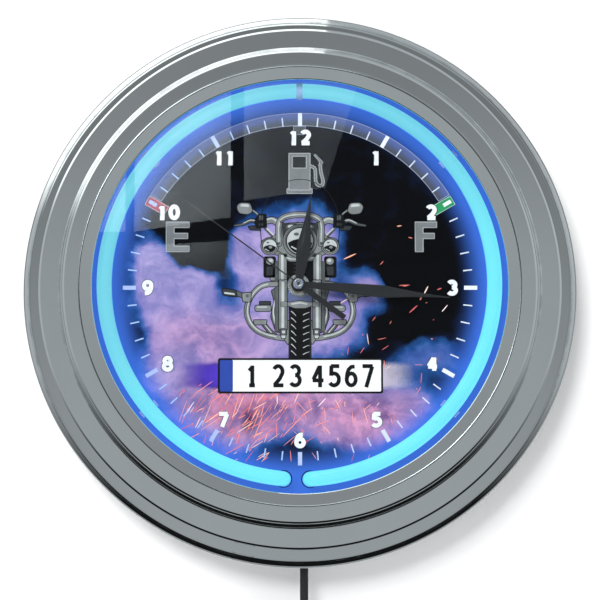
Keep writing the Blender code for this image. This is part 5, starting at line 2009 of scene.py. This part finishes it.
class CLOCK_OT_case(PieceOperator, bpy.types.Operator):
    """Rear pan, hanger and switch"""

    bl_idname = "clock.case"
    bl_label = "Rear Pan"

    CORNERS = (
        (0, 2, 0),
        (145.5, 2, 0.8),
        (145.5, 33.7, 0.3),
        (148, 33.7, 0.3),
        (148, 2, 0.8),
        (165, 2, 1.5),
        (172, 9, 2.0),
        (172, 28, 0.3),
        (183.6, 28, 0.4),
        (183.6, 26, 0.4),
        (174, 26, 0.8),
        (174, 8, 2.0),
        (166, 0, 1.8),
        (158.5, 0, 0.3),
        (158.5, 0.6, 0.3),
        (156.5, 0.6, 0.3),
        (156.5, 0, 0.3),
        (132.0, 0, 0.3),
        (132.0, 0.6, 0.3),
        (130.0, 0.6, 0.3),
        (130.0, 0, 0.3),
        (0, 0, 0),
    )

    def make(self, colours, sizes):
        black = plastic("black moulded pan", (0.022, 0.022, 0.024), 0.48)
        mesh = turned("rear_pan", list(self.CORNERS), 192, 4)
        x, y = HUB
        hang = 118.0
        cutters = [
            moved(box_mesh("c", (18, 24, 4), 0.6), 0, hang - 6, 0.6),
            moved(box_mesh("c", (64, 64, 4), 0.8), x, y - 8.75, 0.6),
            moved(box_mesh("c", (14, 8, 28)), 21, -145.6, 22),
            moved(box_mesh("c", (70, 26, 1.0), 0.3), 0, -92, 0),
        ]
        cutters += [moved(box_mesh("c", (3.2, 24, 4), 0.9), x, 66, 0.6) for x in range(-60, 61, 20)]
        for quarter in range(4):
            t = math.radians(45 + 90 * quarter)
            cutters.append(
                moved(rod(1.9, 24, 30, 16), SCREW_CIRCLE * math.cos(t), SCREW_CIRCLE * math.sin(t), 0)
            )
        down = Matrix.Rotation(math.pi / 2, 4, "X")
        cutters.append(moved(rod(5.3, 169, 177, 32), CORD_X, 0, CORD_DEPTH, down))
        spot = (174.6 * math.cos(SWITCH_ANGLE), 174.6 * math.sin(SWITCH_ANGLE), 16)
        cutters.append(moved(box_mesh("c", (8, 14, 9.2)), *spot, Matrix.Rotation(SWITCH_ANGLE, 4, "Z")))
        mesh = tidied(cut(mesh, cutters), 0.001)
        piece("rear_pan", mesh, black, stands_for=["back_shell"], angle=40)
        ribs = ring_of("pan_ribs", box_mesh("rib", (1.2, 1.2, 14), 0.3), 120, 174.2, 17.5, 1.5)
        keep = self.clear_of(ribs, spot, 12, (CORD_X, -174, 15), 10)
        piece("pan_ribs", keep, black)
        studs = turned("stud", [(0, 3.9, 0), (2.2, 3.9, 0.6), (2.2, 1.6, 0), (0, 1.6, 0)], 24, 4)
        heads = [moved(studs.copy(), side, hang - 4, 0) for side in (-15, 15)]
        piece("hanger_studs", joined("hanger_studs", heads), black)
        paint(steel("zinc hanger", (0.58, 0.58, 0.59), 0.32), "hanger_plate")
        paint(
            plastic("gloss switch plastic", (0.02, 0.02, 0.021), 0.25, 0.6, 0.01), "switch_body", "rocker"
        )

    @staticmethod
    def clear_of(mesh, *zones):
        """The mesh without the faces round some spots, given as a spot and a reach in turn."""
        bm = bmesh.new()
        bm.from_mesh(mesh)
        for spot, reach in zip(zones[::2], zones[1::2]):
            near = [v for v in bm.verts if (v.co.xy - Vector(spot[:2])).length < reach]
            beside = {edge.other_vert(vert) for vert in near for edge in vert.link_edges}
            bmesh.ops.delete(bm, geom=list(beside.union(near)), context="VERTS")
        bm.to_mesh(mesh)
        bm.free()
        return mesh


class CLOCK_OT_movement(PieceOperator, bpy.types.Operator):
    """Quartz movement, its cell and the tube's supply"""

    bl_idname = "clock.movement"
    bl_label = "Movement and Supply"

    def make(self, colours, sizes):
        case = plastic("movement case plastic", (0.03, 0.03, 0.032), 0.4, 0.4, 0.02)
        paint(case, "movement_front_case", "movement_back_case")
        gear = plastic("acetal wheel", (0.74, 0.75, 0.74), 0.35, 0.6, 0.01, 0.05)
        paint(
            gear, "third_wheel", "centre_wheel", "minute_wheel", "hour_wheel", "idler_wheel", "setting_knob"
        )
        paint(
            steel("arbor steel", (0.58, 0.59, 0.6), 0.22),
            "seconds_wheel",
            "quartz_crystal",
            "battery_contact_plus",
        )
        paint(steel("contact steel", (0.66, 0.66, 0.64), 0.25), "battery_contact_minus")
        paint(steel("silicon steel stator", (0.34, 0.34, 0.35), 0.42, (8, 0.5, 8)), "stator")
        paint(steel("rotor magnet", (0.3, 0.3, 0.31), 0.3, (3, 3, 3)), "rotor")
        paint(winding_finish(), "drive_coil")
        paint(board_finish("solder mask"), "inverter_board", "quartz_board")
        paint(plastic("ferrite and tape", (0.05, 0.05, 0.055), 0.6, 0.8, 0.05, 0.25), "transformer")
        paint(cell_finish("cell sleeve"), "battery")
        paint(plastic("capacitor sleeve", (0.02, 0.03, 0.07), 0.3, 0.5, 0.01), "capacitor")


# ---------------------------------------------------------------- panel and run

OPERATORS = (
    CLOCK_OT_stage,
    CLOCK_OT_cord,
    CLOCK_OT_rim,
    CLOCK_OT_glass,
    CLOCK_OT_tube,
    CLOCK_OT_dial,
    CLOCK_OT_sparks,
    CLOCK_OT_motorcycle,
    CLOCK_OT_number_plate,
    CLOCK_OT_hands,
    CLOCK_OT_case,
    CLOCK_OT_movement,
)


class CLOCK_PT_panel(bpy.types.Panel):
    """Lists the clock's pieces, colours and sizes"""

    bl_idname = "CLOCK_PT_panel"
    bl_label = "Neon Wall Clock"
    bl_space_type = "VIEW_3D"
    bl_region_type = "UI"
    bl_category = "Neon Clock"

    def draw(self, context):
        for settings in (context.scene.clock_colours, context.scene.clock_sizes):
            for name in settings.__annotations__:
                self.layout.prop(settings, name)
        for operator in OPERATORS:
            self.layout.operator(operator.bl_idname)


CLASSES = (ClockColours, ClockSizes, *OPERATORS, CLOCK_PT_panel)


def register():
    for made in CLASSES:
        bpy.utils.register_class(made)
    bpy.types.Scene.clock_colours = bpy.props.PointerProperty(type=ClockColours)
    bpy.types.Scene.clock_sizes = bpy.props.PointerProperty(type=ClockSizes)


def unregister():
    del bpy.types.Scene.clock_sizes
    del bpy.types.Scene.clock_colours
    for made in reversed(CLASSES):
        bpy.utils.unregister_class(made)


def main():
    """Registers the add-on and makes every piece."""
    register()
    for operator in OPERATORS:
        group, name = operator.bl_idname.split(".")
        getattr(getattr(bpy.ops, group), name)()


if __name__ == "__main__":
    main()
